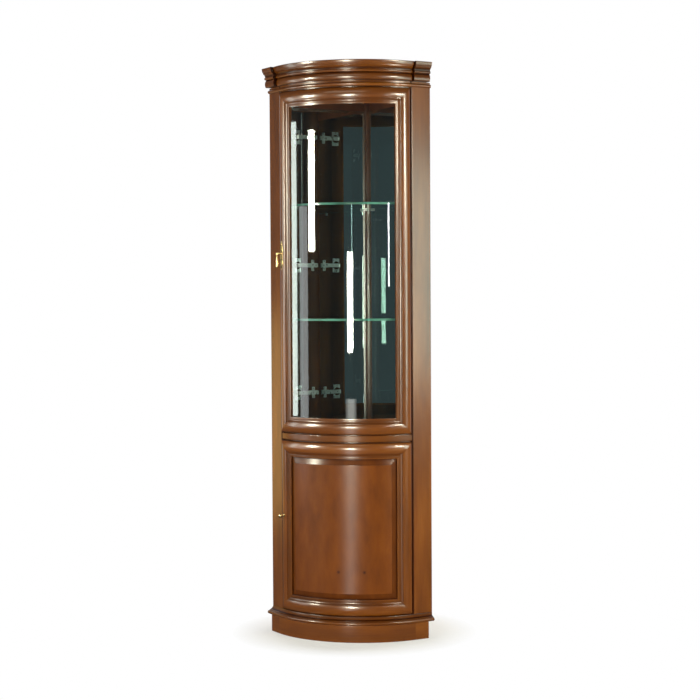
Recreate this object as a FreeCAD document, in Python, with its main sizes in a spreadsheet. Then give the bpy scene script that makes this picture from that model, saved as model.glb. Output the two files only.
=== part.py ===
"""Bow-fronted corner display cabinet: a glazed display case above a cupboard.

The plan is a quarter of a room corner. Two walls meet at the back, a flat return
stands square to each wall, and a bow front joins the two returns as one arc.
Everything on the bow is turned about the upright axis through the arc's centre.

Two coordinates are used for the flat sides: "r" runs out of the arc's centre,
square to a return's face, and "t" runs along the return, towards its wall.
The row's origin is on the floor, at the middle of the cabinet's plan.
"""
import FreeCAD, Part
import math
import os
import Sketcher

Vector = FreeCAD.Vector

LEFT = -1
RIGHT = 1
CONVEX = 1
HOLLOW = -1

DRIVING_SIZES = [
    # name, millimetres or degrees, what it is
    ("wall_side", 433, "length of the cabinet along each wall"),
    ("return_width", 85, "width of each flat return beside the doors"),
    ("return_thickness", 22, "thickness of the returns"),
    ("return_edge_round", 8, "rounding of the return's edge beside the doors"),
    ("back_thickness", 16, "thickness of the two back panels"),
    ("post_size", 30, "section of the post in the wall corner"),
    ("corner_cut", 14, "how far the post's outer corner is cut back"),
    ("board_thickness", 20, "thickness of the display deck and the top board"),
    ("plinth_height", 62, "height of the plinth"),
    ("plinth_thickness", 28, "thickness of the plinth's boards"),
    ("plinth_projection", 20, "how far the plinth stands out from the front"),
    ("skirting_gap", 27.5, "room left for the skirting board behind the plinth"),
    ("base_board_thickness", 29, "thickness of the board on the plinth"),
    ("base_bead_bulge", 6.2, "how far the base moulding's bead overhangs the plinth"),
    ("base_bead_height", 12.8, "height of the base moulding's bead"),
    ("base_fillet", 2, "width and height of the base moulding's fillet"),
    ("base_hollow_radius", 26, "radius of the base moulding's hollow"),
    ("base_moulding_setback", 6, "distance of the base moulding's ends from the wall"),
    ("lower_door_height", 629, "height of the cupboard door"),
    ("mid_rail_height", 24, "height of the rail between the doors"),
    ("mid_rail_chamfer", 3, "chamfer of the mid rail's front edges"),
    ("upper_door_height", 1253, "height of the glazed door"),
    ("frieze_height", 21, "height of the rail above the glazed door"),
    ("glue_gap", 0.1, "thickness of the glue behind the mouldings"),
    ("bead_bulge", 6.2, "how far the frieze bead's round stands out"),
    ("bead_lip", 0.6, "flat above and below the frieze bead's round"),
    ("bead_height", 13, "height of the frieze bead"),
    ("bead_drop", 6.5, "distance of the frieze bead below the crown"),
    ("crown_height", 70, "height of the crown moulding"),
    ("crown_fascia_height", 16, "height of the crown's fascia"),
    ("crown_fascia_lean", 4, "how far the fascia leans out"),
    ("crown_edge_chamfer", 1.5, "chamfer of the crown's top edge"),
    ("crown_fillet", 4, "height of the fillet under the fascia"),
    ("crown_cove_height", 12, "height of the crown's hollow"),
    ("crown_cove_depth", 8.5, "depth of the crown's hollow"),
    ("crown_bead_height", 10, "height of the crown's bead"),
    ("crown_bead_bulge", 3.8, "how far the crown's bead stands out"),
    ("crown_bead_root", 0.5, "how far the bead's root lies behind the hollow's foot"),
    ("crown_cove_ease", 2, "how much the hollow's radius exceeds its height"),
    ("crown_ledge", 1.5, "small ledge at the top of the hollow and at the foot"),
    ("crown_foot_ledge", 1, "height of the flat above the crown's foot"),
    ("crown_quirk", 4, "depth of the quirk under the bead"),
    ("crown_foot_bulge", 4.2, "how far the round at the crown's foot stands out"),
    ("crown_projection", 40, "how far the crown's top edge stands out"),
    ("crown_setback", 16, "distance of the crown's ends from the wall"),
    ("crown_lead", 44, "projection of the crown in the middle of the bow"),
    ("crown_bend_radius", 345, "radius of the crown's top edge on the bow"),
    ("crown_depth", 58, "depth of the crown moulding, from front to back"),
    ("crown_turn", 112, "turn of the bowed crown before its ends are cut, in degrees"),
    ("crown_joint", 3, "open joint between the bowed crown and each return"),
    ("glue_block_size", 24, "section of the glue blocks behind the crown"),
    ("glue_block_sweep", 10, "turn of each glue block on the bow, in degrees"),
    ("glue_block_turn", 28, "turn from the middle glue block to the next, in degrees"),
    ("door_gap", 3, "gap above and below each door"),
    ("door_side_gap", 4, "gap between a door's edge and the return"),
    ("door_inset", 9.4, "how deep the doors' backs lie behind the front"),
    ("door_stop_gap", 1, "gap between a door's back and its stops"),
    ("door_stop_height", 16, "height of the door stops"),
    ("door_stop_depth", 18, "depth of the door stops"),
    ("frame_width", 58, "width of the door frames' members"),
    ("frame_edge", 5.9, "how far the frame's outer edge stands out"),
    ("frame_crest", 13, "how far the frame's round stands out"),
    ("frame_round_width", 38, "width of the frame's round"),
    ("frame_crest_place", 24, "distance of the round's crest from the frame's edge"),
    ("frame_edge_chamfer", 1.5, "chamfer of the frame's outer edge"),
    ("frame_step", 7.5, "projection of the frame's inner step"),
    ("frame_step_width", 2, "width of the frame's inner step"),
    ("frame_quirk", 3, "depth of the quirk beside the frame's round"),
    ("frame_hollow_width", 12, "width of the frame's inner hollow"),
    ("frame_hollow_radius", 13, "radius of the frame's inner hollow"),
    ("frame_lip", 3.2, "projection of the lip around the glass or panel"),
    ("frame_lip_rise", 0.3, "fall of the lip towards the glass or panel"),
    ("rebate_width", 7, "width of the rebate for the glass and the panel"),
    ("rebate_depth", 1, "depth of the rebate's seat behind the front"),
    ("glazing_seat", 0.1, "play between the glass or panel and its seat"),
    ("glazing_gap", 0.4, "gap around the edge of the glass and the panel"),
    ("door_glass_thickness", 4, "thickness of the bowed glass"),
    ("panel_tongue", 5.4, "thickness of the panel's tongue"),
    ("groove_width", 5.8, "width of the groove for the panel's tongue"),
    ("panel_border", 6, "rise of the panel's border above its tongue"),
    ("panel_border_inset", 60, "distance of the panel's border from the door's edge"),
    ("panel_field", 1.6, "rise of the panel's field above its border"),
    ("panel_field_inset", 80, "distance of the panel's field from the door's edge"),
    ("mirror_thickness", 4, "thickness of the mirrors"),
    ("mirror_bevel", 12, "width of the mirrors' bevel"),
    ("mirror_bevel_depth", 1.4, "depth of the mirrors' bevel"),
    ("mirror_top_gap", 46, "height left bare above the mirrors"),
    ("mirror_side_gap", 8, "width left bare between the mirrors and the returns"),
    ("mirror_post_gap", 1, "width left bare between the mirrors and the post"),
    ("shelf_glass_thickness", 8, "thickness of the glass shelves"),
    ("shelf_front_gap", 28, "distance of the shelves' front behind the bow"),
    ("shelf_clearance", 2, "gap around the shelves at the back"),
    ("lower_shelf_rise", 415, "height of the lower glass shelf above the deck"),
    ("upper_shelf_rise", 837, "height of the upper glass shelf above the deck"),
    ("cupboard_shelf_thickness", 18, "thickness of the cupboard shelf"),
    ("cupboard_shelf_rise", 310, "height of the cupboard shelf above the base board"),
    ("shelf_pin_radius", 2.5, "radius of the shelf pins"),
    ("shelf_pin_length", 14, "how far the shelf pins stand out"),
    ("shelf_pin_play", 0.05, "radial play of the shelf pins in their holes"),
    ("shelf_pin_set", 8, "depth of the shelf pins in the wood"),
    ("shelf_pin_place", 30, "distance of the returns' pins from their front edge"),
    ("hinge_cup_radius", 17.4, "radius of the hinge cups"),
    ("hinge_cup_depth", 11.4, "depth of the hinge cups"),
    ("hinge_cup_wall", 1.2, "wall of the hinge cups"),
    ("hinge_bore_play", 0.1, "room around a hinge cup in its bore"),
    ("hinge_setback", 22.5, "distance of the hinge cups from the door's edge"),
    ("hinge_end_distance", 110, "distance of the end hinges from the door's ends"),
    ("hinge_flange_length", 56, "length of a hinge cup's screw flange"),
    ("hinge_flange_near", 1, "distance of the flange's near edge inside the cup's rim"),
    ("hinge_flange_far", 5, "distance of the flange's far edge inside the cup's rim"),
    ("hinge_flange_thickness", 1.4, "thickness of a hinge cup's screw flange"),
    ("hinge_flange_seat", 0.6, "distance of the flat flange from the door's back"),
    ("hinge_nose_gap", 0.4, "gap between an arm's nose and its cup"),
    ("hinge_nose_width", 11, "width of an arm's nose"),
    ("hinge_arm_width", 15, "width of the hinge arms"),
    ("hinge_arm_depth", 11, "depth of the hinge arms"),
    ("hinge_arm_round", 6, "rounding of the arms at their noses"),
    ("hinge_plate_thickness", 2.5, "thickness of the hinge plates"),
    ("hinge_plate_start", 20, "distance of the hinge plates from the return's edge"),
    ("hinge_plate_end", 56, "distance of the plates' far ends from the return's edge"),
    ("hinge_plate_rim", 1, "how far a hinge plate stands out on each side of its arm"),
    ("hinge_wing_width", 12, "width of the hinge plates' wings"),
    ("hinge_screw_spacing", 32, "spacing of the screws in the hinge plates"),
    ("catch_setback", 60, "distance of the catches from the door's free edge"),
    ("catch_gap", 0.3, "gap between a closed door's strike plate and its magnet"),
    ("catch_height", 10, "height of the catches"),
    ("catch_depth", 14, "depth of the catches"),
    ("catch_sweep", 8, "width of the catches, in degrees of the bow"),
    ("strike_sweep", 9, "width of the strike plates, in degrees of the bow"),
    ("strike_thickness", 1, "thickness of the strike plates"),
    ("fitting_seat", 0.05, "play between the frame's crest and the knob or pull"),
    ("knob_height", 350, "height of the knob above the cupboard door's lower edge"),
    ("knob_setback", 22, "distance of the knob from the door's edge"),
    ("knob_radius", 8, "radius of the knob"),
    ("knob_foot_radius", 6.4, "radius of the knob's foot"),
    ("knob_foot_depth", 1.5, "thickness of the knob's foot"),
    ("knob_neck_radius", 3.2, "radius of the knob where its neck meets the ball"),
    ("knob_length", 22, "how far the knob stands out"),
    ("pull_height", 600, "height of the plate's lower end above the glazed door's edge"),
    ("pull_setback", 21, "distance of the pull from the door's edge"),
    ("pull_plate_length", 106, "length of the pull's plate"),
    ("pull_plate_width", 15, "width of the pull's plate"),
    ("pull_plate_neck", 4, "half width of the plate where its pointed ends begin"),
    ("pull_plate_point", 10.5, "length of the plate's pointed ends"),
    ("pull_plate_waist", 18.8, "distance of the plate's full width from its ends"),
    ("pull_point_round", 9.3, "radius of the plate's pointed ends"),
    ("pull_shoulder_round", 11.3, "radius of the plate's hollow shoulders"),
    ("pull_plate_thickness", 1.6, "thickness of the pull's plate"),
    ("pull_standoff", 20, "distance of the drop from the plate"),
    ("pull_pivot_height", 60, "height of the drop's pin above the plate's lower end"),
    ("drop_length", 52, "length of the drop below its pin"),
    ("drop_radius", 5, "largest radius of the drop"),
    ("drop_neck_radius", 1.6, "radius of the drop's stem"),
    ("drop_collar_place", 10, "distance of the drop's collar below its pin"),
    ("drop_stem_end", 2, "distance of the stem's top below the pin, inside the eye"),
    ("drop_taper", 6.5, "angle at which the drop narrows upwards, in degrees"),
    ("drop_collar", 1.6, "projection of the collar above the drop"),
    ("drop_eye_radius", 3.4, "radius of the drop's eye"),
    ("drop_eye_width", 4, "width of the drop's eye"),
    ("pull_fork_width", 8.4, "width of the fork that holds the drop"),
    ("pull_fork_height", 6.8, "height of the fork's ears"),
    ("pull_fork_tip", 2.7, "how far the fork's ears reach past the pin's centre"),
    ("pull_fork_floor", 1, "room between the drop's eye and the bottom of the fork"),
    ("pull_fork_root", 2, "how far the fork's ears run into the post"),
    ("pull_pin_radius", 1.2, "radius of the pin through the fork"),
    ("drop_side_play", 0.2, "room on each side of the drop's eye"),
    ("pin_fit", 0.02, "radial room of the pin in the fork's ears"),
    ("pin_proud", 0.3, "how far the pin's ends stand out of the fork"),
    ("pin_play", 0.15, "radial clearance of the drop on its pin"),
]


def sheet_of_sizes(document):
    """The spreadsheet that every size in the model comes from."""
    sheet = document.addObject("Spreadsheet::Sheet", "Sizes")
    for row, (alias, value, note) in enumerate(DRIVING_SIZES, start=1):
        sheet.set(f"A{row}", note)
        sheet.set(f"B{row}", str(value))
        sheet.setAlias(f"B{row}", alias)
    document.recompute()
    return sheet


doc = FreeCAD.newDocument("corner_display_cabinet")
sizes = sheet_of_sizes(doc)
ALIASES = [alias for alias, value, note in DRIVING_SIZES]


def named(formula):
    """Writes a formula over size names as an expression over the sheet's cells."""
    word = ""
    written = ""
    for letter in str(formula) + " ":
        if letter.isalnum() or letter == "_":
            word += letter
            continue
        written += "Sizes." + word if word in ALIASES else word
        written += letter
        word = ""
    return written.strip()


def number(formula):
    """The present value of a formula over size names."""
    return float(sizes.evalExpression(named(formula)))


# Places that follow from the driving sizes, as formulas.
COS45 = "(sqrt(2)/2)"
DEGREES = "(180/pi)"
FRONT = "(wall_side - return_width)"
RETURN_INSIDE = f"({FRONT} - return_thickness)"
BACK_INSIDE = "(return_width - back_thickness)"
POST_FACE = "(return_width - post_size)"
CENTRE_Y = f"(({FRONT} + crown_lead - sqrt(2)*return_width + corner_cut)/2)"

BASE_TOP = "(plinth_height + base_board_thickness)"
LOWER_DOOR_BOTTOM = f"({BASE_TOP} + door_gap)"
LOWER_DOOR_TOP = f"({LOWER_DOOR_BOTTOM} + lower_door_height)"
MID_RAIL_BOTTOM = f"({LOWER_DOOR_TOP} + door_gap)"
MID_RAIL_TOP = f"({MID_RAIL_BOTTOM} + mid_rail_height)"
DECK_BOTTOM = f"({MID_RAIL_TOP} - board_thickness)"
UPPER_DOOR_BOTTOM = f"({MID_RAIL_TOP} + door_gap)"
UPPER_DOOR_TOP = f"({UPPER_DOOR_BOTTOM} + upper_door_height)"
FRIEZE_BOTTOM = f"({UPPER_DOOR_TOP} + door_gap)"
CARCASS_TOP = f"({FRIEZE_BOTTOM} + frieze_height)"
CEILING = f"({CARCASS_TOP} - board_thickness)"

DOOR_BACK = f"({FRONT} - door_inset)"
DOOR_HALF_ANGLE = f"(45 - door_side_gap/{FRONT}*{DEGREES})"
STOP_FRONT = f"({DOOR_BACK} - door_stop_gap)"
STOP_BACK = f"({STOP_FRONT} - door_stop_depth)"
HINGE_ANGLE = f"({DOOR_HALF_ANGLE} - hinge_setback/{FRONT}*{DEGREES})"


def degrees_at(distance):
    """The angle on the bow, from its middle, at a distance from a door's edge."""
    return f"({DOOR_HALF_ANGLE} - ({distance})/{FRONT}*{DEGREES})"


def plan_x(r, t):
    return f"{COS45}*(({r}) + ({t}))"


def plan_y(r, t):
    return f"{COS45}*(({t}) - ({r}))"


# ---------------------------------------------------------------- helpers


def place(item, x="0", y="0", z="0", turn="0"):
    """Puts a piece at a point of the arc's frame, turned about the upright axis."""
    spin = FreeCAD.Rotation(Vector(0, 0, 1), number(turn))
    spot = Vector(number(x), number(f"({y}) + {CENTRE_Y}"), number(z))
    item.Placement = FreeCAD.Placement(spot, spin)
    item.setExpression(".Placement.Base.x", named(x))
    item.setExpression(".Placement.Base.y", named(f"({y}) + {CENTRE_Y}"))
    item.setExpression(".Placement.Base.z", named(z))
    item.setExpression(".Placement.Rotation.Angle", named(turn))


def new_body(label):
    body = doc.addObject("PartDesign::Body", label)
    body.Label = label
    return body


def origin_plane(body, role):
    return [item for item in body.Origin.OriginFeatures if item.Role == role][0]


def edge_between(start, end, radius, side):
    """A line, or an arc that bulges to the right (+1) or left (-1) of its run.

    An arc always runs counter-clockwise, so one that bulges to the left is drawn
    from its end to its start.
    """
    if radius is None:
        return Part.LineSegment(start, end)
    run = end - start
    right = Vector(run.y, -run.x, 0) * (side / run.Length)
    sagitta = radius - math.sqrt(radius**2 - (run.Length / 2) ** 2)
    middle = (start + end) * 0.5 + right * sagitta
    return Part.Arc(start, middle, end) if side > 0 else Part.Arc(end, middle, start)


def outline_sketch(body, role, outline, flip=1, name="outline"):
    """A closed sketch through the outline's corners, every one tied to the sheet.

    A corner is (x, y), or (x, y, radius, CONVEX or HOLLOW) where an arc leads to it.
    flip is -1 where the outline's corners run clockwise in the sketch.
    """
    sketch = body.newObject("Sketcher::SketchObject", f"{body.Name}_{name}")
    sketch.AttachmentSupport = [(origin_plane(body, role), "")]
    sketch.MapMode = "FlatFace"
    corners = [Vector(number(c[0]), number(c[1]), 0) for c in outline]
    count = len(outline)
    for index, corner in enumerate(outline):
        radius = number(corner[2]) if len(corner) > 2 else None
        side = corner[3] * flip if len(corner) > 2 else 1
        edge = edge_between(corners[index - 1], corners[index], radius, side)
        sketch.addGeometry(edge, False)
    ends = []
    for index in range(count):
        at_start = (sketch.Geometry[index].StartPoint - corners[index - 1]).Length < 1e-4
        ends.append((1, 2) if at_start else (2, 1))
    for index in range(count):
        following = (index + 1) % count
        meet = (index, ends[index][1], following, ends[following][0])
        sketch.addConstraint(Sketcher.Constraint("Coincident", *meet))
    for index, corner in enumerate(outline):
        tip = (index, ends[index][1])
        for axis, formula in (("DistanceX", corner[0]), ("DistanceY", corner[1])):
            tie = Sketcher.Constraint(axis, -1, 1, *tip, number(formula))
            tie_to_sheet(sketch, tie, f"{axis}_{index}", formula)
        if len(corner) > 2:
            tie = Sketcher.Constraint("Radius", index, number(corner[2]))
            tie_to_sheet(sketch, tie, f"Radius_{index}", corner[2])
    return sketch


def tie_to_sheet(sketch, constraint, name, formula):
    index = sketch.addConstraint(constraint)
    sketch.renameConstraint(index, name)
    sketch.setExpression(f"Constraints.{name}", named(formula))


def turned(body, sketch, sweep, axis="V_Axis"):
    """Turns a sketch about one of its axes, half to each side of its plane."""
    turning = body.newObject("PartDesign::Revolution", f"{body.Name}_turning")
    turning.Profile = sketch
    turning.ReferenceAxis = (sketch, [axis])
    turning.Midplane = True
    turning.setExpression("Angle", named(sweep))
    sketch.Visibility = False
    return turning


def bow_body(label, outline, sweep, turn="0", flip=1):
    """A piece of the bow: a section of (radius, height), turned through an angle."""
    body = new_body(label)
    sketch = outline_sketch(body, "XZ_Plane", outline, flip)
    turned(body, sketch, sweep)
    place(body, turn=f"({turn}) - 90")
    return body


def bulge_radius(chord, bulge):
    """Radius of an arc over a chord, from how far it bulges."""
    return f"((({chord})/2)^2 + ({bulge})^2)/(2*({bulge}))"


def chords(start, end, radius, side, count):
    """Corners of straight stretches along an arc, which are light to turn on the bow."""
    run, rise = f"(({end[0]}) - ({start[0]}))", f"(({end[1]}) - ({start[1]}))"
    half = f"asin(sqrt({run}^2 + {rise}^2)/(2*({radius})))"
    heading = f"atan2({rise}; {run})"
    corners = []
    for step in range(1, count):
        part = f"({half}*{step}/{count})"
        turn = f"({heading} + {side}*({part} - {half}))"
        reach = f"2*({radius})*sin({part})"
        across, up = f"{reach}*cos({turn})", f"{reach}*sin({turn})"
        corners.append((f"({start[0]}) + {across}", f"({start[1]}) + {up}"))
    return corners + [end]


def rectangle(inner, outer, bottom, top):
    return [(inner, bottom), (outer, bottom), (outer, top), (inner, top)]


def padded(body, sketch, length, name="pad", backwards=False):
    pad = body.newObject("PartDesign::Pad", f"{body.Name}_{name}")
    pad.Profile = sketch
    pad.Reversed = backwards
    pad.setExpression("Length", named(length))
    sketch.Visibility = False
    return pad


def side_turn(side):
    """The turn that lays a body's X along r, on the left or the right."""
    return "-45" if side == RIGHT else "-135"


def side_point(side, r, t):
    return f"{side}*{plan_x(r, t)}", plan_y(r, t)


def side_column(label, side, outline, bottom, height):
    """An upright piece of one side, from its outline in (r, t)."""
    body = new_body(label)
    drawn = [(c[0], f"{side}*({c[1]})", *c[2:]) for c in outline]
    sketch = outline_sketch(body, "XY_Plane", drawn, flip=side)
    padded(body, sketch, height)
    place(body, z=bottom, turn=side_turn(side))
    return body


def side_length(label, side, outline, start, length, flip=1):
    """A moulding along one return, from its section in (r, height)."""
    body = new_body(label)
    sketch = outline_sketch(body, "XZ_Plane", outline, flip)
    padded(body, sketch, length, backwards=side == RIGHT)
    x, y = side_point(side, "0", start)
    place(body, x=x, y=y, turn=side_turn(side))
    return body


def group(label, members):
    """Several separate solids that share one name."""
    cluster = doc.addObject("Part::Compound", label)
    cluster.Label = label
    cluster.Links = members
    return cluster


def part_cylinder(name, radius, height):
    cylinder = doc.addObject("Part::Cylinder", name)
    cylinder.setExpression("Radius", named(radius))
    cylinder.setExpression("Height", named(height))
    return cylinder


def tilted(sketch, angle):
    """Turns a sketch's plane about the body's upright axis."""
    spin = FreeCAD.Rotation(Vector(0, 1, 0), number(angle))
    sketch.AttachmentOffset = FreeCAD.Placement(Vector(0, 0, 0), spin)
    sketch.setExpression("AttachmentOffset.Rotation.Angle", named(angle))


def trim(body, role, outline, name, angle=None):
    """Cuts an outline clean through a body, to both sides of its plane."""
    sketch = outline_sketch(body, role, outline, name=f"trim_{name}")
    if angle is not None:
        tilted(sketch, angle)
    pocket = body.newObject("PartDesign::Pocket", f"{body.Name}_pocket_{name}")
    pocket.Profile = sketch
    pocket.Type = "ThroughAll"
    pocket.Midplane = True
    sketch.Visibility = False
    return pocket


def circle_sketch(body, role, circles, name):
    """Full circles, each (x, y, radius), tied to the sheet."""
    sketch = body.newObject("Sketcher::SketchObject", f"{body.Name}_{name}")
    sketch.AttachmentSupport = [(origin_plane(body, role), "")]
    sketch.MapMode = "FlatFace"
    for index, (x, y, radius) in enumerate(circles):
        centre = Vector(number(x), number(y), 0)
        circle = Part.Circle(centre, Vector(0, 0, 1), number(radius))
        sketch.addGeometry(circle, False)
        for axis, formula in (("DistanceX", x), ("DistanceY", y)):
            tie = Sketcher.Constraint(axis, -1, 1, index, 3, number(formula))
            tie_to_sheet(sketch, tie, f"{axis}_{index}", formula)
        tie = Sketcher.Constraint("Radius", index, number(radius))
        tie_to_sheet(sketch, tie, f"Radius_{index}", radius)
    sketch.Visibility = False
    return sketch


def bored(body, role, circles, depth, name, backwards):
    """Blind holes, cut from the body's origin plane to a depth."""
    pocket = body.newObject("PartDesign::Pocket", f"{body.Name}_{name}_pocket")
    pocket.Profile = circle_sketch(body, role, circles, name)
    pocket.Reversed = backwards
    pocket.setExpression("Length", named(depth))
    return pocket


def place_on_bow(item, side, angle, radius, z):
    """Puts a piece on the bow, with its X pointing out along the arc's radius."""
    x = f"{side}*({radius})*sin({angle})"
    y = f"-({radius})*cos({angle})"
    place(item, x=x, y=y, z=z, turn=f"{side}*({angle}) - 90")


# ---------------------------------------------------------------- carcass


def plan_board(label, front, reach, bottom, thickness, corner):
    """A board that fills the plan: bow, returns, back edges and the wall corner.

    corner is the list of its corners in the wall corner, right side first.
    """
    right_end = (plan_x(front, reach), plan_y(front, reach))
    left_end = (f"-{right_end[0]}", right_end[1])
    bow_end = (plan_x(front, "0"), plan_y(front, "0"))
    bow_start = (f"-{bow_end[0]}", bow_end[1])
    outline = [bow_start, (*bow_end, front, CONVEX), right_end, *corner, left_end]
    body = new_body(label)
    padded(body, outline_sketch(body, "XY_Plane", outline), thickness)
    place(body, z=bottom)
    return body


def cut_corner():
    """The wall corner with its tip cut off, so that it clears an uneven room."""
    tip = "(sqrt(2)*return_width - corner_cut)"
    half = "corner_cut"
    return [(half, tip), (f"-{half}", tip)]


def notched_corner(wall_gap, post_gap):
    """The wall corner cut away around the post."""
    reach = f"({BACK_INSIDE} - {wall_gap})"
    face = f"({POST_FACE} - {post_gap})"
    beside = (plan_x(f"-{face}", reach), plan_y(f"-{face}", reach))
    tip = (plan_x(f"-{face}", face), plan_y(f"-{face}", face))
    return [beside, tip, (f"-{beside[0]}", beside[1])]


def plinth():
    inner = f"({FRONT} + plinth_projection - plinth_thickness)"
    outer = f"({FRONT} + plinth_projection)"
    bow_body("plinth_front", rectangle(inner, outer, "0", "plinth_height"), "90")
    reach = "(return_width - skirting_gap)"
    inside = f"({reach} - plinth_thickness)"
    for side, word in ((LEFT, "left"), (RIGHT, "right")):
        board = rectangle(inner, outer, "0", reach)
        side_column(f"plinth_{word}_return", side, board, "0", "plinth_height")
        corner = f"-{reach}" if side == RIGHT else f"-{inside}"
        back = rectangle(corner, inner, inside, reach)
        side_column(f"plinth_{word}_back", side, back, "0", "plinth_height")


def base_moulding_section():
    """Section of the base moulding: a bead below, a hollow above."""
    foot = f"({FRONT} + plinth_projection)"
    bead_top = "(plinth_height + base_bead_height)"
    bead = bulge_radius("base_bead_height", "base_bead_bulge")
    fillet = f"({foot} - base_fillet)"
    back = f"({FRONT} + glue_gap)"
    bead_foot, bead_end = (foot, "plinth_height"), (foot, bead_top)
    hollow_foot = (fillet, f"{bead_top} + base_fillet")
    hollow_end = (f"{FRONT} + base_fillet", BASE_TOP)
    return [
        (back, "plinth_height"),
        bead_foot,
        *chords(bead_foot, bead_end, bead, CONVEX, 5),
        (fillet, bead_top),
        hollow_foot,
        *chords(hollow_foot, hollow_end, "base_hollow_radius", HOLLOW, 4),
        (back, BASE_TOP),
    ]


def base():
    board = cut_corner()
    plan_board("base_board", FRONT, "return_width", "plinth_height",
               "base_board_thickness", board)
    section = base_moulding_section()
    bow_body("base_moulding_bow", section, "90")
    length = "(return_width - base_moulding_setback)"
    for side, word in ((LEFT, "left"), (RIGHT, "right")):
        side_length(f"base_moulding_{word}", side, section, "0", length)


def uprights():
    height = f"({CARCASS_TOP} - {BASE_TOP})"
    round_start = f"({FRONT} - return_edge_round)"
    stile = [
        (RETURN_INSIDE, "0"),
        (round_start, "0"),
        (FRONT, "return_edge_round", "return_edge_round", CONVEX),
        (FRONT, "return_width"),
        (RETURN_INSIDE, "return_width"),
    ]
    back = rectangle(f"-{POST_FACE}", RETURN_INSIDE, BACK_INSIDE, "return_width")
    for side, word in ((LEFT, "left"), (RIGHT, "right")):
        upright = side_column(f"{word}_return", side, stile, BASE_TOP, height)
        drill_pin_holes(upright, side)
        side_column(f"{word}_back_panel", side, back, BASE_TOP, height)
    corner_post(height)


def corner_post(height):
    cut = f"({COS45}*2*corner_cut)"
    outline = [
        (f"-{POST_FACE}", POST_FACE),
        (f"-{POST_FACE}", "return_width"),
        (f"-(return_width - {cut})", "return_width"),
        ("-return_width", f"return_width - {cut}"),
        ("-return_width", POST_FACE),
    ]
    drill_post_holes(side_column("corner_post", RIGHT, outline, BASE_TOP, height))


def boards():
    corner = notched_corner("0", "0")
    for label, bottom in (("display_deck", DECK_BOTTOM), ("top_board", CEILING)):
        plan_board(label, RETURN_INSIDE, BACK_INSIDE, bottom, "board_thickness", corner)


def front_rails():
    low, high, cut = MID_RAIL_BOTTOM, MID_RAIL_TOP, "mid_rail_chamfer"
    nose = [
        (RETURN_INSIDE, low),
        (f"{FRONT} - {cut}", low),
        (FRONT, f"{low} + {cut}"),
        (FRONT, f"{high} - {cut}"),
        (f"{FRONT} - {cut}", high),
        (RETURN_INSIDE, high),
    ]
    bow_body("mid_rail", nose, "90")
    frieze = rectangle(RETURN_INSIDE, FRONT, FRIEZE_BOTTOM, CARCASS_TOP)
    bow_body("frieze_rail", frieze, "90")


def door_stops():
    """A bowed batten at the foot and the head of each door opening."""
    openings = (("cupboard", BASE_TOP, MID_RAIL_BOTTOM),
                ("display", MID_RAIL_TOP, FRIEZE_BOTTOM))
    for word, floor, ceiling in openings:
        foot = rectangle(STOP_BACK, STOP_FRONT, floor, f"{floor} + door_stop_height")
        head = rectangle(STOP_BACK, STOP_FRONT, f"{ceiling} - door_stop_height", ceiling)
        stops = [bow_body(f"{word}_foot_stop", foot, "90")]
        stops.append(bow_body(f"{word}_head_stop", head, "90"))
        group(f"{word}_door_stops", stops)


def frieze_bead():
    top = f"({CARCASS_TOP} - bead_drop)"
    bottom = f"({top} - bead_height)"
    back = f"({FRONT} + glue_gap)"
    lip = f"({back} + bead_lip)"
    round_front = bulge_radius("bead_height", "bead_bulge")
    section = [
        (back, bottom),
        (lip, bottom),
        *chords((lip, bottom), (lip, top), round_front, CONVEX, 5),
        (back, top),
    ]
    bow_body("frieze_bead_bow", section, "90")
    for side, word in ((LEFT, "left"), (RIGHT, "right")):
        side_length(f"frieze_bead_{word}", side, section, "0", "return_width")


# ---------------------------------------------------------------- crown


def crown_section(edge):
    """Section of the crown: fascia, hollow, bead and a broad round at the foot."""
    top = f"({CARCASS_TOP} + crown_height)"
    back = f"({edge} - crown_depth)"
    fascia = f"({top} - crown_fascia_height)"
    cove = f"({fascia} - crown_fillet)"
    bead = f"({cove} - crown_cove_height)"
    quirk = f"({bead} - crown_bead_height)"
    under_fascia = f"({edge} - crown_fascia_lean)"
    cove_top = f"({under_fascia} - crown_ledge)"
    cove_foot = f"({cove_top} - crown_cove_depth)"
    bead_root = f"({cove_foot} - crown_bead_root)"
    foot = f"({cove_foot} - crown_quirk)"
    foot_start = (f"{foot} + crown_ledge", CARCASS_TOP)
    foot_end = (foot, f"({quirk} - crown_foot_ledge)")
    foot_height = f"({foot_end[1]} - {CARCASS_TOP})"
    foot_round = bulge_radius(foot_height, "crown_foot_bulge")
    bead_round = bulge_radius("crown_bead_height", "crown_bead_bulge")
    cove_round = "(crown_cove_height + crown_cove_ease)"
    fascia_round = "crown_fascia_height*2.5"
    fascia_end = (edge, f"{top} - crown_edge_chamfer")
    return [
        (back, CARCASS_TOP),
        foot_start,
        *chords(foot_start, foot_end, foot_round, CONVEX, 4),
        (foot, quirk),
        (bead_root, quirk),
        *chords((bead_root, quirk), (bead_root, bead), bead_round, CONVEX, 4),
        (cove_foot, bead),
        *chords((cove_foot, bead), (cove_top, cove), cove_round, HOLLOW, 3),
        (cove_top, fascia),
        (under_fascia, fascia),
        *chords((under_fascia, fascia), fascia_end, fascia_round, CONVEX, 2),
        (f"{edge} - crown_edge_chamfer", top),
        (back, top),
    ]


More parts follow.
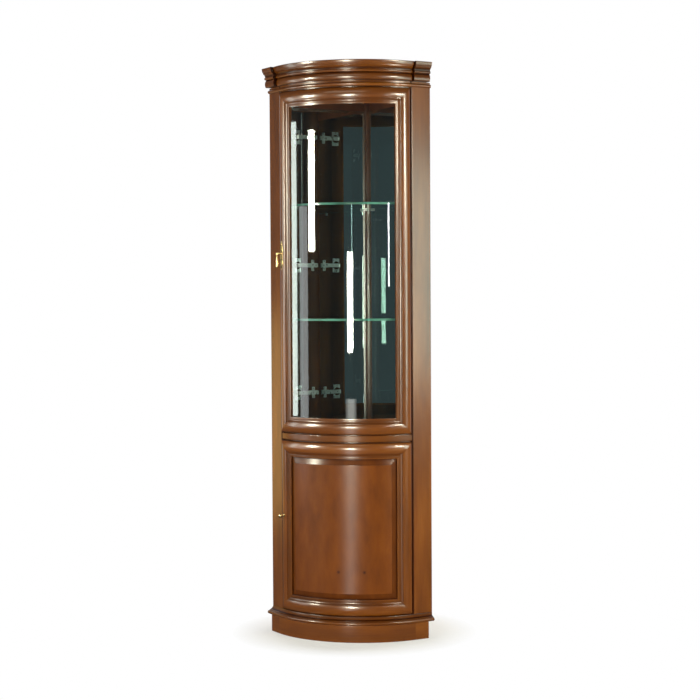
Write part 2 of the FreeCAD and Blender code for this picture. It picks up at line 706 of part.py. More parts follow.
def crown():
    """The bowed crown bends tighter than the doors, and stops short of the returns."""
    centre = f"({FRONT} + crown_lead - crown_bend_radius)"
    body = new_body("crown_bow")
    sketch = outline_sketch(body, "XZ_Plane", crown_section("crown_bend_radius"))
    turned(body, sketch, "crown_turn")
    gap = "(crown_joint/sqrt(2))"
    far = "2*wall_side"
    for side, word in ((LEFT, "left"), (RIGHT, "right")):
        beyond = [
            (f"{gap} - {centre}", "0"),
            (f"{far} - {centre} + {gap}", f"{side}*{far}"),
            (f"{gap} - {centre}", f"{side}*{far}"),
        ]
        trim(body, "XY_Plane", beyond, word)
    place(body, y=f"-{centre}", turn="-90")
    start = "(crown_joint/2)"
    length = f"(return_width - crown_setback - {start})"
    section = crown_section(f"({FRONT} + crown_projection)")
    for side, word in ((LEFT, "left"), (RIGHT, "right")):
        side_length(f"crown_{word}", side, section, start, length)
    glue_blocks(centre)


def glue_blocks(centre):
    """Blocks glued behind the crown: three on the bow and one on each return."""
    top = f"({CARCASS_TOP} + glue_block_size)"
    back = "(crown_bend_radius - crown_depth)"
    section = rectangle(f"{back} - glue_block_size", back, CARCASS_TOP, top)
    members = []
    turns = (("left", "-glue_block_turn"), ("middle", "0"), ("right", "glue_block_turn"))
    for place_name, turn in turns:
        name = f"glue_block_{place_name}"
        block = bow_body(name, section, "glue_block_sweep", turn)
        block.setExpression(".Placement.Base.y", named(f"{CENTRE_Y} - {centre}"))
        members.append(block)
    back = f"({FRONT} + crown_projection - crown_depth)"
    section = rectangle(f"{back} - glue_block_size", back, CARCASS_TOP, top)
    length = "2*glue_block_size"
    for side, word in ((LEFT, "left"), (RIGHT, "right")):
        name = f"glue_block_{word}_return"
        members.append(side_length(name, side, section, "return_width/5", length))
    group("crown_glue_blocks", members)


# ---------------------------------------------------------------- fittings inside


def pin_heights():
    """The heights of the pins under each shelf, as (shelf, height)."""
    pin_drop = "shelf_pin_radius"
    return (
        ("cupboard_shelf", f"({BASE_TOP} + cupboard_shelf_rise - {pin_drop})"),
        ("lower_glass_shelf", f"({MID_RAIL_TOP} + lower_shelf_rise - {pin_drop})"),
        ("upper_glass_shelf", f"({MID_RAIL_TOP} + upper_shelf_rise - {pin_drop})"),
    )


PIN_BORE = "(shelf_pin_radius + shelf_pin_play)"
POST_ARRIS = f"(sqrt(2)*{POST_FACE})"


def drill_pin_holes(upright, side):
    """Blind holes for the shelf pins in a return's inner face."""
    across = f"{side}*shelf_pin_place"
    holes = [(across, f"{z} - {BASE_TOP}", PIN_BORE) for name, z in pin_heights()]
    depth = f"{RETURN_INSIDE} + shelf_pin_set"
    bored(upright, "YZ_Plane", holes, depth, "pin_holes", True)


def drill_post_holes(post):
    """Blind holes for the shelf pins, in the arris that faces the room."""
    holes = [("0", f"{z} - {BASE_TOP}", PIN_BORE) for name, z in pin_heights()]
    depth = f"{POST_ARRIS} + shelf_pin_set"
    pocket = bored(post, "YZ_Plane", holes, depth, "pin_holes", False)
    tilted(pocket.Profile[0], "-45")


def shelf_pins():
    """Three pins under each shelf: one in each return and one in the post."""
    length = "(shelf_pin_length + shelf_pin_set)"
    return_end = f"({RETURN_INSIDE} - shelf_pin_length)"
    pins = []
    for shelf, z in pin_heights():
        for side, word in ((LEFT, "left"), (RIGHT, "right")):
            pin = part_cylinder(f"{shelf}_{word}_pin", "shelf_pin_radius", length)
            x, y = side_point(side, return_end, "shelf_pin_place")
            lay_along(pin, x, y, z, side_turn(side))
            pins.append(pin)
        pin = part_cylinder(f"{shelf}_back_pin", "shelf_pin_radius", length)
        lay_along(pin, "0", f"{POST_ARRIS} - shelf_pin_length", z, "90")
        pins.append(pin)
    group("shelf_pins", pins)


def lay_along(cylinder, x, y, z, turn):
    """Lays a cylinder's axis flat, along the direction of a turned X axis."""
    down = FreeCAD.Rotation(Vector(0, 0, 1), number(turn))
    down = down.multiply(FreeCAD.Rotation(Vector(0, 1, 0), 90))
    spot = Vector(number(x), number(f"({y}) + {CENTRE_Y}"), number(z))
    cylinder.Placement = FreeCAD.Placement(spot, down)
    cylinder.setExpression(".Placement.Base.x", named(x))
    cylinder.setExpression(".Placement.Base.y", named(f"({y}) + {CENTRE_Y}"))
    cylinder.setExpression(".Placement.Base.z", named(z))


def shelves():
    front = f"({FRONT} - shelf_front_gap)"
    glass_gap = "(mirror_thickness + shelf_clearance)"
    reach = f"({BACK_INSIDE} - {glass_gap})"
    for name, rise in (("lower", "lower_shelf_rise"), ("upper", "upper_shelf_rise")):
        plan_board(f"{name}_glass_shelf", front, reach, f"({MID_RAIL_TOP} + {rise})",
                   "shelf_glass_thickness", notched_corner(glass_gap, "shelf_clearance"))
    plan_board("cupboard_shelf", front, f"({BACK_INSIDE} - shelf_clearance)",
               f"({BASE_TOP} + cupboard_shelf_rise)", "cupboard_shelf_thickness",
               notched_corner("shelf_clearance", "shelf_clearance"))


def mirrors():
    """A bevelled mirror on each back panel, standing on the display deck."""
    low = MID_RAIL_TOP
    height = f"({CEILING} - mirror_top_gap - {low})"
    start = f"(mirror_post_gap - {POST_FACE})"
    length = f"({RETURN_INSIDE} - mirror_side_gap - {start})"
    flat = "(mirror_thickness - mirror_bevel_depth)"
    for side, word in ((LEFT, "left"), (RIGHT, "right")):
        plate = doc.addObject("Part::Box", f"{word}_mirror_plate")
        plate.setExpression("Length", named(length))
        plate.setExpression("Width", named(flat))
        plate.setExpression("Height", named(height))
        plate.setExpression(".Placement.Base.y", named(f"-({flat})"))
        bevel = doc.addObject("Part::Wedge", f"{word}_mirror_bevel")
        bevel_sizes = {
            "Xmin": "0", "Xmax": length, "Ymin": "0", "Ymax": "mirror_bevel_depth",
            "Zmin": "0", "Zmax": height, "X2min": "mirror_bevel", "Z2min": "mirror_bevel",
            "X2max": f"{length} - mirror_bevel", "Z2max": f"{height} - mirror_bevel",
        }
        for size, formula in bevel_sizes.items():
            bevel.setExpression(size, named(formula))
        flip_over(bevel, flat, length)
        mirror = doc.addObject("Part::Fuse", f"{word}_mirror")
        mirror.Label = f"{word}_mirror"
        mirror.Base = plate
        mirror.Tool = bevel
        if side == RIGHT:
            x, y = side_point(side, start, BACK_INSIDE)
            place(mirror, x=x, y=y, z=low, turn=side_turn(side))
        else:
            x, y = side_point(side, f"{start} + {length}", BACK_INSIDE)
            place(mirror, x=x, y=y, z=low, turn="45")


def flip_over(bevel, flat, length):
    """Turns the bevelled layer half round, so that its narrow face looks out."""
    half_turn = FreeCAD.Rotation(Vector(0, 0, 1), 180)
    bevel.Placement = FreeCAD.Placement(Vector(number(length), 0, 0), half_turn)
    bevel.setExpression(".Placement.Base.x", named(length))
    bevel.setExpression(".Placement.Base.y", named(f"-({flat})"))


# ---------------------------------------------------------------- doors

RAIL_CHORDS = 4
ALONG = "along the front"
ROUND = "level at the crest"


def frame_section(grooved):
    """Section of a door frame's member: distance from its outer edge, and projection.

    It runs along the back to the glass or panel, then over the moulded front. An edge
    marked ALONG keeps to the bow. One marked ROUND is an arc between the crest, where
    it runs level, and the low end that is given with it.
    """
    seat = "-rebate_depth"
    wall = "(frame_width - rebate_width)"
    back = [("0", "-door_inset")]
    if grooved:
        cheek = "-(rebate_depth + groove_width)"
        back += [("frame_width", "-door_inset", ALONG), ("frame_width", cheek)]
        back += [(wall, cheek, ALONG), (wall, seat), ("frame_width", seat, ALONG)]
    else:
        back += [(wall, "-door_inset", ALONG), (wall, seat)]
        back += [("frame_width", seat, ALONG)]
    step_end = "(frame_round_width + frame_step_width)"
    round_start = ("frame_round_width", "frame_step + frame_quirk")
    round_end = ("frame_edge_chamfer", "frame_edge")
    return back + [
        ("frame_width", "frame_lip"),
        (f"{step_end} + frame_hollow_width", "frame_lip + frame_lip_rise"),
        (step_end, "frame_step", "frame_hollow_radius", HOLLOW),
        ("frame_round_width", "frame_step"),
        round_start,
        ("frame_crest_place", "frame_crest", ROUND, round_start),
        (*round_end, ROUND, round_end),
        ("0", "frame_edge - frame_edge_chamfer"),
    ]


def rail_outline(section, height_of, flip):
    """The section as (radius, height), for a rail that follows the bow."""
    outline = []
    for u, v, *bend in section:
        corner = (f"{FRONT} + ({v})", height_of.format(u=u))
        if not bend or bend[0] == ALONG:
            outline.append(corner)
            continue
        radius, side = bend
        if bend[0] == ROUND:
            low_u, low_v = bend[1]
            run, drop = f"({low_u} - frame_crest_place)", f"(frame_crest - ({low_v}))"
            radius, side = f"({run}^2 + {drop}^2)/(2*{drop})", CONVEX
        outline += chords(outline[-1], corner, radius, side * flip, RAIL_CHORDS)
    return outline


def plan_angle(u):
    """The angle on the bow from a hinge cup's radius to a distance from the edge."""
    return f"(hinge_setback - ({u}))/{FRONT}*{DEGREES}"


def stile_outline(section, side):
    """The section in plan, bent round the bow, for an upright stile.

    Its X axis is the arc's radius through the hinge cups' distance from the edge.
    """
    outline = []
    before = section[-1][0]
    for u, v, *bend in section:
        radius = f"({FRONT} + ({v}))"
        spot = f"{radius}*cos({plan_angle(u)})", f"{side}*{radius}*sin({plan_angle(u)})"
        corner = spot
        if bend and bend[0] == ALONG:
            inward = number(u) > number(before)
            corner += (radius, HOLLOW if inward else CONVEX)
        elif bend and bend[0] == ROUND:
            corner += (crest_radius(*bend[1]), CONVEX)
        elif bend:
            sign = "+" if bend[1] == CONVEX else "-"
            corner += (f"1/(1/({bend[0]}) {sign} 1/{FRONT})", bend[1])
        outline.append(corner)
        before = u
    return outline


def crest_radius(low_u, low_v):
    """Radius in plan of the round from its crest, where it follows the bow."""
    crest = f"({FRONT} + frame_crest)"
    low = f"({FRONT} + ({low_v}))"
    turn = f"(({low_u}) - frame_crest_place)/{FRONT}*{DEGREES}"
    drop = f"({crest} - {low}*cos({turn}))"
    return f"({drop}^2 + ({low}*sin({turn}))^2)/(2*{drop})"


def mitre(body, side, corner, way, keep_stile, angle=None):
    """Cuts a member's end at 45 degrees, in the plane of the door's corner.

    corner is the corner's height and way is 1 at the door's foot and -1 at its head.
    """
    edge = "(hinge_setback + frame_width)"
    inner = "(hinge_setback - 2*frame_width)"
    outside = f"{corner} - {way}*frame_width"
    inside = f"{corner} + {way}*2*frame_width"
    outline = [(f"{side}*{edge}", outside), (f"{side}*{inner}", inside)]
    outline.append((f"{side}*{inner}", outside) if keep_stile
                   else (f"{side}*{edge}", inside))
    name = f"mitre_{'left' if side == LEFT else 'right'}_{'foot' if way > 0 else 'head'}"
    trim(body, "YZ_Plane", outline, name, angle)


def door_frame(word, bottom, height, grooved, cup_heights):
    """Two upright stiles and two bowed rails, moulded all round and mitred."""
    section = frame_section(grooved)
    for side, hand in ((LEFT, "left"), (RIGHT, "right")):
        stile = new_body(f"{word}_{hand}_stile")
        sketch = outline_sketch(stile, "XY_Plane", stile_outline(section, side), side)
        padded(stile, sketch, height)
        mitre(stile, side, "0", 1, True)
        mitre(stile, side, height, -1, True)
        if side == RIGHT:
            cups = [("0", z, "hinge_cup_radius + hinge_bore_play") for z in cup_heights]
            depth = f"{DOOR_BACK} + hinge_cup_depth + hinge_bore_play"
            bored(stile, "YZ_Plane", cups, depth, "cup_bores", True)
        place_on_bow(stile, side, HINGE_ANGLE, "0", bottom)
    ends = (("bottom", "{u}", "0", 1, -1), ("top", f"{height} - ({{u}})", height, -1, 1))
    for end, height_of, corner, way, flip in ends:
        rail = new_body(f"{word}_{end}_rail")
        outline = rail_outline(section, height_of, flip)
        turned(rail, outline_sketch(rail, "XZ_Plane", outline, flip), "90")
        for side in (LEFT, RIGHT):
            mitre(rail, side, corner, way, False, f"{side}*{HINGE_ANGLE}")
        place(rail, z=bottom, turn="-90")


def door_glass():
    """The bowed glass and the four beads that hold it in the frame's rebate."""
    wall = "(frame_width - rebate_width)"
    inset = f"({wall} + glazing_gap)"
    outer = f"({FRONT} - rebate_depth - glazing_seat)"
    inner = f"({outer} - door_glass_thickness)"
    top = "upper_door_height"
    glass = rectangle(inner, outer, inset, f"{top} - {inset}")
    sheet_of_glass = bow_body("door_glass", glass, f"2*{degrees_at(inset)}")
    sheet_of_glass.setExpression(".Placement.Base.z", named(UPPER_DOOR_BOTTOM))
    back = f"({inner} - glazing_seat)"
    members = []
    for end, low, high in (("bottom", wall, "frame_width"),
                           ("top", f"{top} - frame_width", f"{top} - {wall}")):
        strip = rectangle(DOOR_BACK, back, low, high)
        members.append(bow_body(f"glazing_bead_{end}", strip, f"2*{degrees_at(wall)}"))
    strip = rectangle(DOOR_BACK, back, "frame_width", f"{top} - frame_width")
    sweep = f"({degrees_at(wall)} - {degrees_at('frame_width')})"
    middle = f"(({degrees_at(wall)} + {degrees_at('frame_width')})/2)"
    for side, hand in ((LEFT, "left"), (RIGHT, "right")):
        name = f"glazing_bead_{hand}"
        members.append(bow_body(name, strip, sweep, f"{side}*{middle}"))
    for bead in members:
        bead.setExpression(".Placement.Base.z", named(UPPER_DOOR_BOTTOM))
    group("glazing_beads", members)


def raised_panel():
    """The cupboard door's bowed panel: its bevels meet in mitres at the corners."""
    inset = "(frame_width - rebate_width + glazing_gap)"
    inner = f"({FRONT} - rebate_depth - glazing_seat - panel_tongue)"
    tongue = f"({inner} + panel_tongue)"
    border = f"({tongue} + panel_border)"
    field = f"({border} + panel_field)"
    top = "lower_door_height"
    upright = [
        (inner, inset),
        (tongue, inset),
        (tongue, "panel_border_inset"),
        (border, "panel_field_inset"),
        (field, "panel_field_inset"),
        (field, f"{top} - panel_field_inset"),
        (border, f"{top} - panel_field_inset"),
        (tongue, f"{top} - panel_border_inset"),
        (tongue, f"{top} - {inset}"),
        (inner, f"{top} - {inset}"),
    ]
    bowed = new_body("panel_bevels_across")
    turned(bowed, outline_sketch(bowed, "XZ_Plane", upright), f"2*{degrees_at(inset)}")
    place(bowed, z=LOWER_DOOR_BOTTOM, turn="-90")
    right_side = [
        (inner, inset, inner, HOLLOW),
        (tongue, inset),
        (tongue, "panel_border_inset", tongue, CONVEX),
        (border, "panel_field_inset"),
        (field, "panel_field_inset"),
    ]
    outline = []
    for side, corners in ((LEFT, right_side), (RIGHT, right_side[::-1])):
        for radius, distance, *bend in corners:
            angle = degrees_at(distance)
            spot = (f"{radius}*cos({angle})", f"{side}*{radius}*sin({angle})")
            if side == RIGHT:
                bend = across_panel(radius, distance, tongue, field)
            outline.append((*spot, *bend))
    plan = new_body("panel_bevels_upright")
    padded(plan, outline_sketch(plan, "XY_Plane", outline, flip=1), top)
    place(plan, z=LOWER_DOOR_BOTTOM, turn="-90")
    panel = doc.addObject("Part::Common", "raised_panel")
    panel.Label = "raised_panel"
    panel.Base = bowed
    panel.Tool = plan


def across_panel(radius, distance, tongue, field):
    """The bend that leads to a corner on the panel's right side, if there is one."""
    if radius == field:
        return (field, CONVEX)
    if radius == tongue and distance != "panel_border_inset":
        return (tongue, CONVEX)
    return ()


# ---------------------------------------------------------------- hinges and catches


def cup_heights(height, count):
    """Heights of the hinge cups on a door, evenly spaced between its end hinges."""
    step = f"(({height} - 2*hinge_end_distance)/{count - 1})"
    return [f"(hinge_end_distance + {step}*{index})" for index in range(count)]


UPPER_CUPS = cup_heights("upper_door_height", 3)
LOWER_CUPS = cup_heights("lower_door_height", 2)


def hinge_cup(name, z):
    """A cup with its screw flange, let into the stile from behind."""
    body = new_body(name)
    mouth = f"({DOOR_BACK} - hinge_flange_seat)"
    circle = [("0", "0", "hinge_cup_radius")]
    padded(body, circle_sketch(body, "YZ_Plane", circle, "cup"),
           "hinge_cup_depth + hinge_flange_seat", "cup_pad")
    near = "hinge_cup_radius - hinge_flange_near"
    far = "hinge_flange_far - hinge_cup_radius"
    flange = rectangle(near, far, "-hinge_flange_length/2", "hinge_flange_length/2")
    sketch = outline_sketch(body, "YZ_Plane", flange[::-1], name="flange")
    padded(body, sketch, "hinge_flange_thickness", "flange_pad", backwards=True)
    hollow = [("0", "0", "hinge_cup_radius - hinge_cup_wall")]
    depth = "hinge_cup_depth + hinge_flange_seat - hinge_cup_wall"
    bored(body, "YZ_Plane", hollow, depth, "hollow", True)
    bored(body, "YZ_Plane", hollow, "hinge_flange_thickness", "mouth", False)
    place_on_bow(body, RIGHT, HINGE_ANGLE, mouth, z)
    return body


def hinge_arm(name, z):
    """An arm along the return, whose nose reaches the mouth of its cup."""
    outer = f"({RETURN_INSIDE} - hinge_plate_thickness)"
    inner = f"({outer} - hinge_arm_depth)"
    nose_t = f"({FRONT}*sin(45 - {HINGE_ANGLE}))"
    near = f"-({nose_t} - hinge_nose_width/2)"
    far = f"-({nose_t} + hinge_nose_width/2)"
    mouth = f"({DOOR_BACK} - hinge_flange_seat - hinge_flange_thickness - hinge_nose_gap)"
    tip = f"sqrt({mouth}^2 - ({far})^2)"
    outline = [
        (outer, "hinge_plate_end"),
        (inner, "hinge_plate_end"),
        (inner, f"{far} + hinge_arm_round"),
        (f"{inner} + hinge_arm_round", far, "hinge_arm_round", CONVEX),
        (tip, far),
        (tip, near),
        (outer, near),
    ]
    body = new_body(name)
    padded(body, outline_sketch(body, "XY_Plane", outline), "hinge_arm_width")
    place(body, z=f"({z}) - hinge_arm_width/2", turn=side_turn(RIGHT))
    return body


def hinge_plate(name, z):
    """The cross-shaped plate that carries an arm on the return's inner face."""
    start, end = "hinge_plate_start", "hinge_plate_end"
    wing = "hinge_wing_width"
    middle = f"(({start} + {end})/2)"
    reach = "(hinge_screw_spacing/2 + hinge_wing_width/2)"
    half = "(hinge_arm_width/2 + hinge_plate_rim)"
    outline = [
        (start, f"-{half}"),
        (f"{middle} - {wing}/2", f"-{half}"),
        (f"{middle} - {wing}/2", f"-{reach}"),
        (f"{middle} + {wing}/2", f"-{reach}"),
        (f"{middle} + {wing}/2", f"-{half}"),
        (end, f"-{half}"),
        (end, half),
        (f"{middle} + {wing}/2", half),
        (f"{middle} + {wing}/2", reach),
        (f"{middle} - {wing}/2", reach),
        (f"{middle} - {wing}/2", half),
        (start, half),
    ]
    body = new_body(name)
    sketch = outline_sketch(body, "YZ_Plane", outline)
    padded(body, sketch, "hinge_plate_thickness")
    x, y = side_point(RIGHT, f"({RETURN_INSIDE} - hinge_plate_thickness)", "0")
    place(body, x=x, y=y, z=z, turn=side_turn(RIGHT))
    return body


def hinges():
    doors = (("display", UPPER_DOOR_BOTTOM, UPPER_CUPS),
             ("cupboard", LOWER_DOOR_BOTTOM, LOWER_CUPS))
    for word, bottom, heights in doors:
        for kind, maker in (("cup", hinge_cup), ("arm", hinge_arm), ("plate", hinge_plate)):
            members = []
            for index, height in enumerate(heights, start=1):
                name = f"{word}_hinge_{kind}_{index}"
                members.append(maker(name, f"({bottom} + {height})"))
            group(f"{word}_hinge_{kind}s", members)


def catches():
    """A magnet under each top stop and a strike plate on each door's back."""
    doors = (("display", f"({FRIEZE_BOTTOM} - door_stop_height)"),
             ("cupboard", f"({MID_RAIL_BOTTOM} - door_stop_height)"))
    front = f"({DOOR_BACK} - catch_gap - strike_thickness)"
    angle = f"-{degrees_at('catch_setback')}"
    for word, top in doors:
        low = f"({top} - catch_height)"
        block = rectangle(f"{front} - catch_depth", front, low, top)
        bow_body(f"{word}_catch", block, "catch_sweep", angle)
        strike = rectangle(f"{DOOR_BACK} - strike_thickness", DOOR_BACK, low, top)
        bow_body(f"{word}_strike_plate", strike, "strike_sweep", angle)


# ---------------------------------------------------------------- knob and pull


def knob():
    """A turned knob on the cupboard door's free stile."""
    ball = "knob_radius"
    top = "knob_length"
    neck = "knob_neck_radius"
    neck_end = f"({top} - {ball} - sqrt({ball}^2 - {neck}^2))"
    outline = [
        ("0", "0"),
        ("0", "knob_foot_radius"),
        ("knob_foot_depth", "knob_foot_radius"),
        (neck_end, neck),
        *chords((neck_end, neck), (top, "0"), ball, -CONVEX, 6),
    ]
    body = new_body("knob")
    sketch = outline_sketch(body, "XZ_Plane", outline, flip=-1)
    turned(body, sketch, "360", axis="H_Axis")
    crest = f"({FRONT} + frame_crest + fitting_seat)"
    z = f"({LOWER_DOOR_BOTTOM} + knob_height)"
    place_on_bow(body, LEFT, degrees_at("knob_setback"), crest, z)


def pull_plate():
    """The back plate with its post and fork, whose ears hold the drop's pin."""
    body = new_body("pull_plate")
    half, neck = "(pull_plate_width/2)", "pull_plate_neck"
    foot = "(-pull_pivot_height)"
    head = "(pull_plate_length - pull_pivot_height)"
    end, waist = "pull_plate_point", "pull_plate_waist"
    tip, shoulder = "pull_point_round", "pull_shoulder_round"
    outline = [
        ("0", foot, tip, CONVEX),
        (neck, f"{foot} + {end}", tip, CONVEX),
        (half, f"{foot} + {waist}", shoulder, HOLLOW),
        (half, f"{head} - {waist}"),
        (neck, f"{head} - {end}", shoulder, HOLLOW),
        ("0", head, tip, CONVEX),
        (f"-{neck}", f"{head} - {end}", tip, CONVEX),
        (f"-{half}", f"{head} - {waist}", shoulder, HOLLOW),
        (f"-{half}", f"{foot} + {waist}"),
        (f"-{neck}", f"{foot} + {end}", shoulder, HOLLOW),
    ]
    padded(body, outline_sketch(body, "YZ_Plane", outline), "pull_plate_thickness")
    post_length = "(pull_standoff - drop_eye_radius - pull_fork_floor)"
    post = circle_sketch(body, "YZ_Plane", [("0", "0", "pull_fork_width/2")], "post")
    padded(body, post, post_length, "post_pad")
    fork_end = "(pull_standoff + pull_fork_tip)"
    lug = "pull_fork_height/2"
    fork = rectangle(f"{post_length} - pull_fork_root", fork_end, f"-{lug}", lug)
    lugs = padded(body, outline_sketch(body, "XZ_Plane", fork, name="fork"),
                  "pull_fork_width", "fork_pad")
    lugs.Midplane = True
    slot = "(drop_eye_width/2 + drop_side_play)"
    gap = rectangle(post_length, f"2*{fork_end}", f"-{slot}", slot)
    trim(body, "XY_Plane", gap, "slot_for_the_eye")
    pin = [("pull_standoff", "0", "pull_pin_radius + pin_fit")]
    hole = circle_sketch(body, "XZ_Plane", pin, "pin_bore")
    bore = body.newObject("PartDesign::Pocket", "pull_plate_pin_bore_pocket")
    bore.Profile = hole
    bore.Type = "ThroughAll"
    bore.Midplane = True
    place_pull(body, "0")


def place_pull(item, out):
    """Puts a piece at the height of the drop's pin, on the glazed door's free stile."""
    radius = f"({FRONT} + frame_crest + fitting_seat + {out})"
    z = f"({UPPER_DOOR_BOTTOM} + pull_height + pull_pivot_height)"
    place_on_bow(item, LEFT, degrees_at("pull_setback"), radius, z)


def drop_handle():
    """The turned drop, with a flat eye that swings on the pin."""
    body = new_body("drop_handle")
    bulb, neck = "drop_radius", "drop_neck_radius"
    centre = f"({bulb} - drop_length)"
    taper = f"(({bulb}*cos(drop_taper) - {neck})/tan(drop_taper))"
    bulb_end = f"({centre} + {bulb}*sin(drop_taper))"
    collar = "drop_collar_place"
    outline = [
        ("0", "-drop_length"),
        *chords(("0", "-drop_length"), (f"{bulb}*cos(drop_taper)", bulb_end), bulb,
                CONVEX, 4),
        (neck, f"{bulb_end} + {taper}"),
        (neck, f"-{collar} - drop_collar"),
        (f"{neck} + drop_collar", f"-{collar}"),
        (neck, f"-{collar} + drop_collar"),
        (neck, "-drop_stem_end"),
        ("0", "-drop_stem_end"),
    ]
    turned(body, outline_sketch(body, "XZ_Plane", outline), "360")
    eye = padded(body, circle_sketch(body, "XZ_Plane", [("0", "0", "drop_eye_radius")],
                                     "eye"), "drop_eye_width", "eye_pad")
    eye.Midplane = True
    hole = circle_sketch(body, "XZ_Plane", [("0", "0", "pull_pin_radius + pin_play")],
                         "pin_hole")
    bore = body.newObject("PartDesign::Pocket", "drop_handle_pin_hole_pocket")
    bore.Profile = hole
    bore.Type = "ThroughAll"
    bore.Midplane = True
    place_pull(body, "pull_standoff")


def pull_pin():
    body = new_body("pull_pin")
    circle = circle_sketch(body, "XZ_Plane", [("0", "0", "pull_pin_radius")], "pin")
    pin = padded(body, circle, "pull_fork_width + 2*pin_proud", "pin_pad")
    pin.Midplane = True
    place_pull(body, "pull_standoff")


# ---------------------------------------------------------------- assembly


def build():
    plinth()
    base()
    uprights()
    boards()
    front_rails()
    door_stops()
    frieze_bead()
    crown()
    mirrors()
    shelves()
    shelf_pins()
    door_frame("display_door", UPPER_DOOR_BOTTOM, "upper_door_height", False, UPPER_CUPS)
    door_glass()
    door_frame("cupboard_door", LOWER_DOOR_BOTTOM, "lower_door_height", True, LOWER_CUPS)
    raised_panel()
    hinges()
    catches()
    knob()
    pull_plate()
    pull_pin()
    drop_handle()
    doc.recompute()


def outermost_pieces():
    """The bodies and booleans that nothing else is made from."""
    kinds = ("PartDesign::Body", "Part::Compound", "Part::Fuse", "Part::Common")
    pieces = []
    for item in doc.Objects:
        users = [user for user in item.InList if user.TypeId in kinds]
        if item.TypeId in kinds and not users:
            pieces.append(item)
    return pieces


def check(pieces):
    """Stops before anything is written if an object failed or a shape is not sound."""
    for item in doc.Objects:
        if "Invalid" in item.State or "Error" in item.State:
            raise RuntimeError(f"{item.Label} failed: {item.State}")
    for piece in pieces:
        if piece.Shape.isNull() or not piece.Shape.isValid() or not piece.Shape.Solids:
            raise RuntimeError(f"{piece.Label} has no sound solid")


def write(pieces):
    os.makedirs("parts", exist_ok=True)
    for piece in pieces:
        piece.Shape.exportStep(f"parts/{piece.Label}.step")


build()
made = outermost_pieces()
check(made)
write(made)
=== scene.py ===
# %% [markdown]
# # A bow-fronted corner display cabinet
#
# The cabinet fills a room corner. Two flat returns stand square to the walls, and a
# bow front joins them: a glazed door above, a door with a raised panel below. It could
# be modelled afresh by eye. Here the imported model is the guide, because it is measured
# and its doors already swing. This lesson dresses it: the show wood, the glass, the
# mirrors and the brass, with smooth mouldings where the plain solids have facets.

import math

import bmesh
import bpy
import numpy as np
from mathutils import Matrix, Vector


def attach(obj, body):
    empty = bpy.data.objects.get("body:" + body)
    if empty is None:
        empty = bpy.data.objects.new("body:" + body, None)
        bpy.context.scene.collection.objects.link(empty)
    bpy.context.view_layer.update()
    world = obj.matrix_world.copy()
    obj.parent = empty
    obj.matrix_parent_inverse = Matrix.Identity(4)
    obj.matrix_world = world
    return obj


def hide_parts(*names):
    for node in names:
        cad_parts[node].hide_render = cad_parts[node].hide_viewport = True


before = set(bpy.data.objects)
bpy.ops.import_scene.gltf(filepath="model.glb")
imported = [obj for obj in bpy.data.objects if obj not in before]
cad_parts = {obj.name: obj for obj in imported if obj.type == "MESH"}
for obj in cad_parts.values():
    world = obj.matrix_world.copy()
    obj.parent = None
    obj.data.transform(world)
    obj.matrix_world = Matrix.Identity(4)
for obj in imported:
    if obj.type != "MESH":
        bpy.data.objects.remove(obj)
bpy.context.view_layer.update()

# %% [markdown]
# ## The cabinet's measures
#
# The bow is an arc about an upright axis behind the doors. A joiner would mark it out
# with a trammel from that one point, so every curved piece here is placed by a radius
# and an angle about it. A bent box would be quicker to draw, but its mouldings would
# not stay parallel. Lengths are in metres, like everything in the scene.

# %% Measures of the bow and the doors
MM = 0.001
BOW = 348 * MM
AXIS_Y = 142.896 * MM
CASE_HALF = math.pi / 4
DOOR_SIDE_GAP = 4 * MM
DOOR_HALF = CASE_HALF - DOOR_SIDE_GAP / BOW
UPPER_DOOR = (753 * MM, 2006 * MM)
LOWER_DOOR = (94 * MM, 723 * MM)
STILE_CREST = 361.05 * MM
SIDES = ((-1, "left"), (1, "right"))
print("bow", BOW, "m; door half angle", round(math.degrees(DOOR_HALF), 2))


# %% Places on the bow and beside a return
def on_bow(radius, angle, height, forward=0.0):
    """A point at a radius and an angle about the bow's axis."""
    y = AXIS_Y - forward - radius * math.cos(angle)
    return Vector((radius * math.sin(angle), y, height))


def on_side(side, out, along, height):
    """A point beside a return: how far out of the axis, and how far to the wall."""
    turn = math.sqrt(0.5)
    return Vector((side * turn * (out + along), AXIS_Y + turn * (along - out), height))


print("foot of the bow's middle:", tuple(on_bow(BOW, 0, 0)))

# %% [markdown]
# ## The camera
#
# Tall furniture is best seen from far away through a long lens, so that its uprights
# stay upright. A tracking constraint could aim the camera. Its axes are written out as
# a matrix instead, because a small tilt and roll are easier to state that way.

# %% Camera
TURN, TILT, ROLL = math.radians(-14.647), math.radians(1.9668), math.radians(-0.3301)
STANDPOINT = (1.55816, -6.0065, 1.26666)
FOCAL_PIXELS, PICTURE_PIXELS = 1662.32, 700

forward = Vector((math.sin(TURN) * math.cos(TILT), math.cos(TURN) * math.cos(TILT),
                  -math.sin(TILT)))
level = Vector((math.cos(TURN), -math.sin(TURN), 0))
upward = level.cross(forward)
across_view = math.cos(ROLL) * level + math.sin(ROLL) * upward
up_view = -math.sin(ROLL) * level + math.cos(ROLL) * upward
axes = Matrix((across_view, up_view, -forward)).transposed().to_4x4()
lens = bpy.data.cameras.new("camera")
lens.sensor_width = 36
lens.lens = 36 * FOCAL_PIXELS / PICTURE_PIXELS
lens.clip_end = 60
camera = bpy.data.objects.new("camera", lens)
bpy.context.scene.collection.objects.link(camera)
camera.matrix_world = Matrix.Translation(STANDPOINT) @ axes
bpy.context.scene.camera = camera
print("camera stands", round(camera.location.length, 2), "m away")

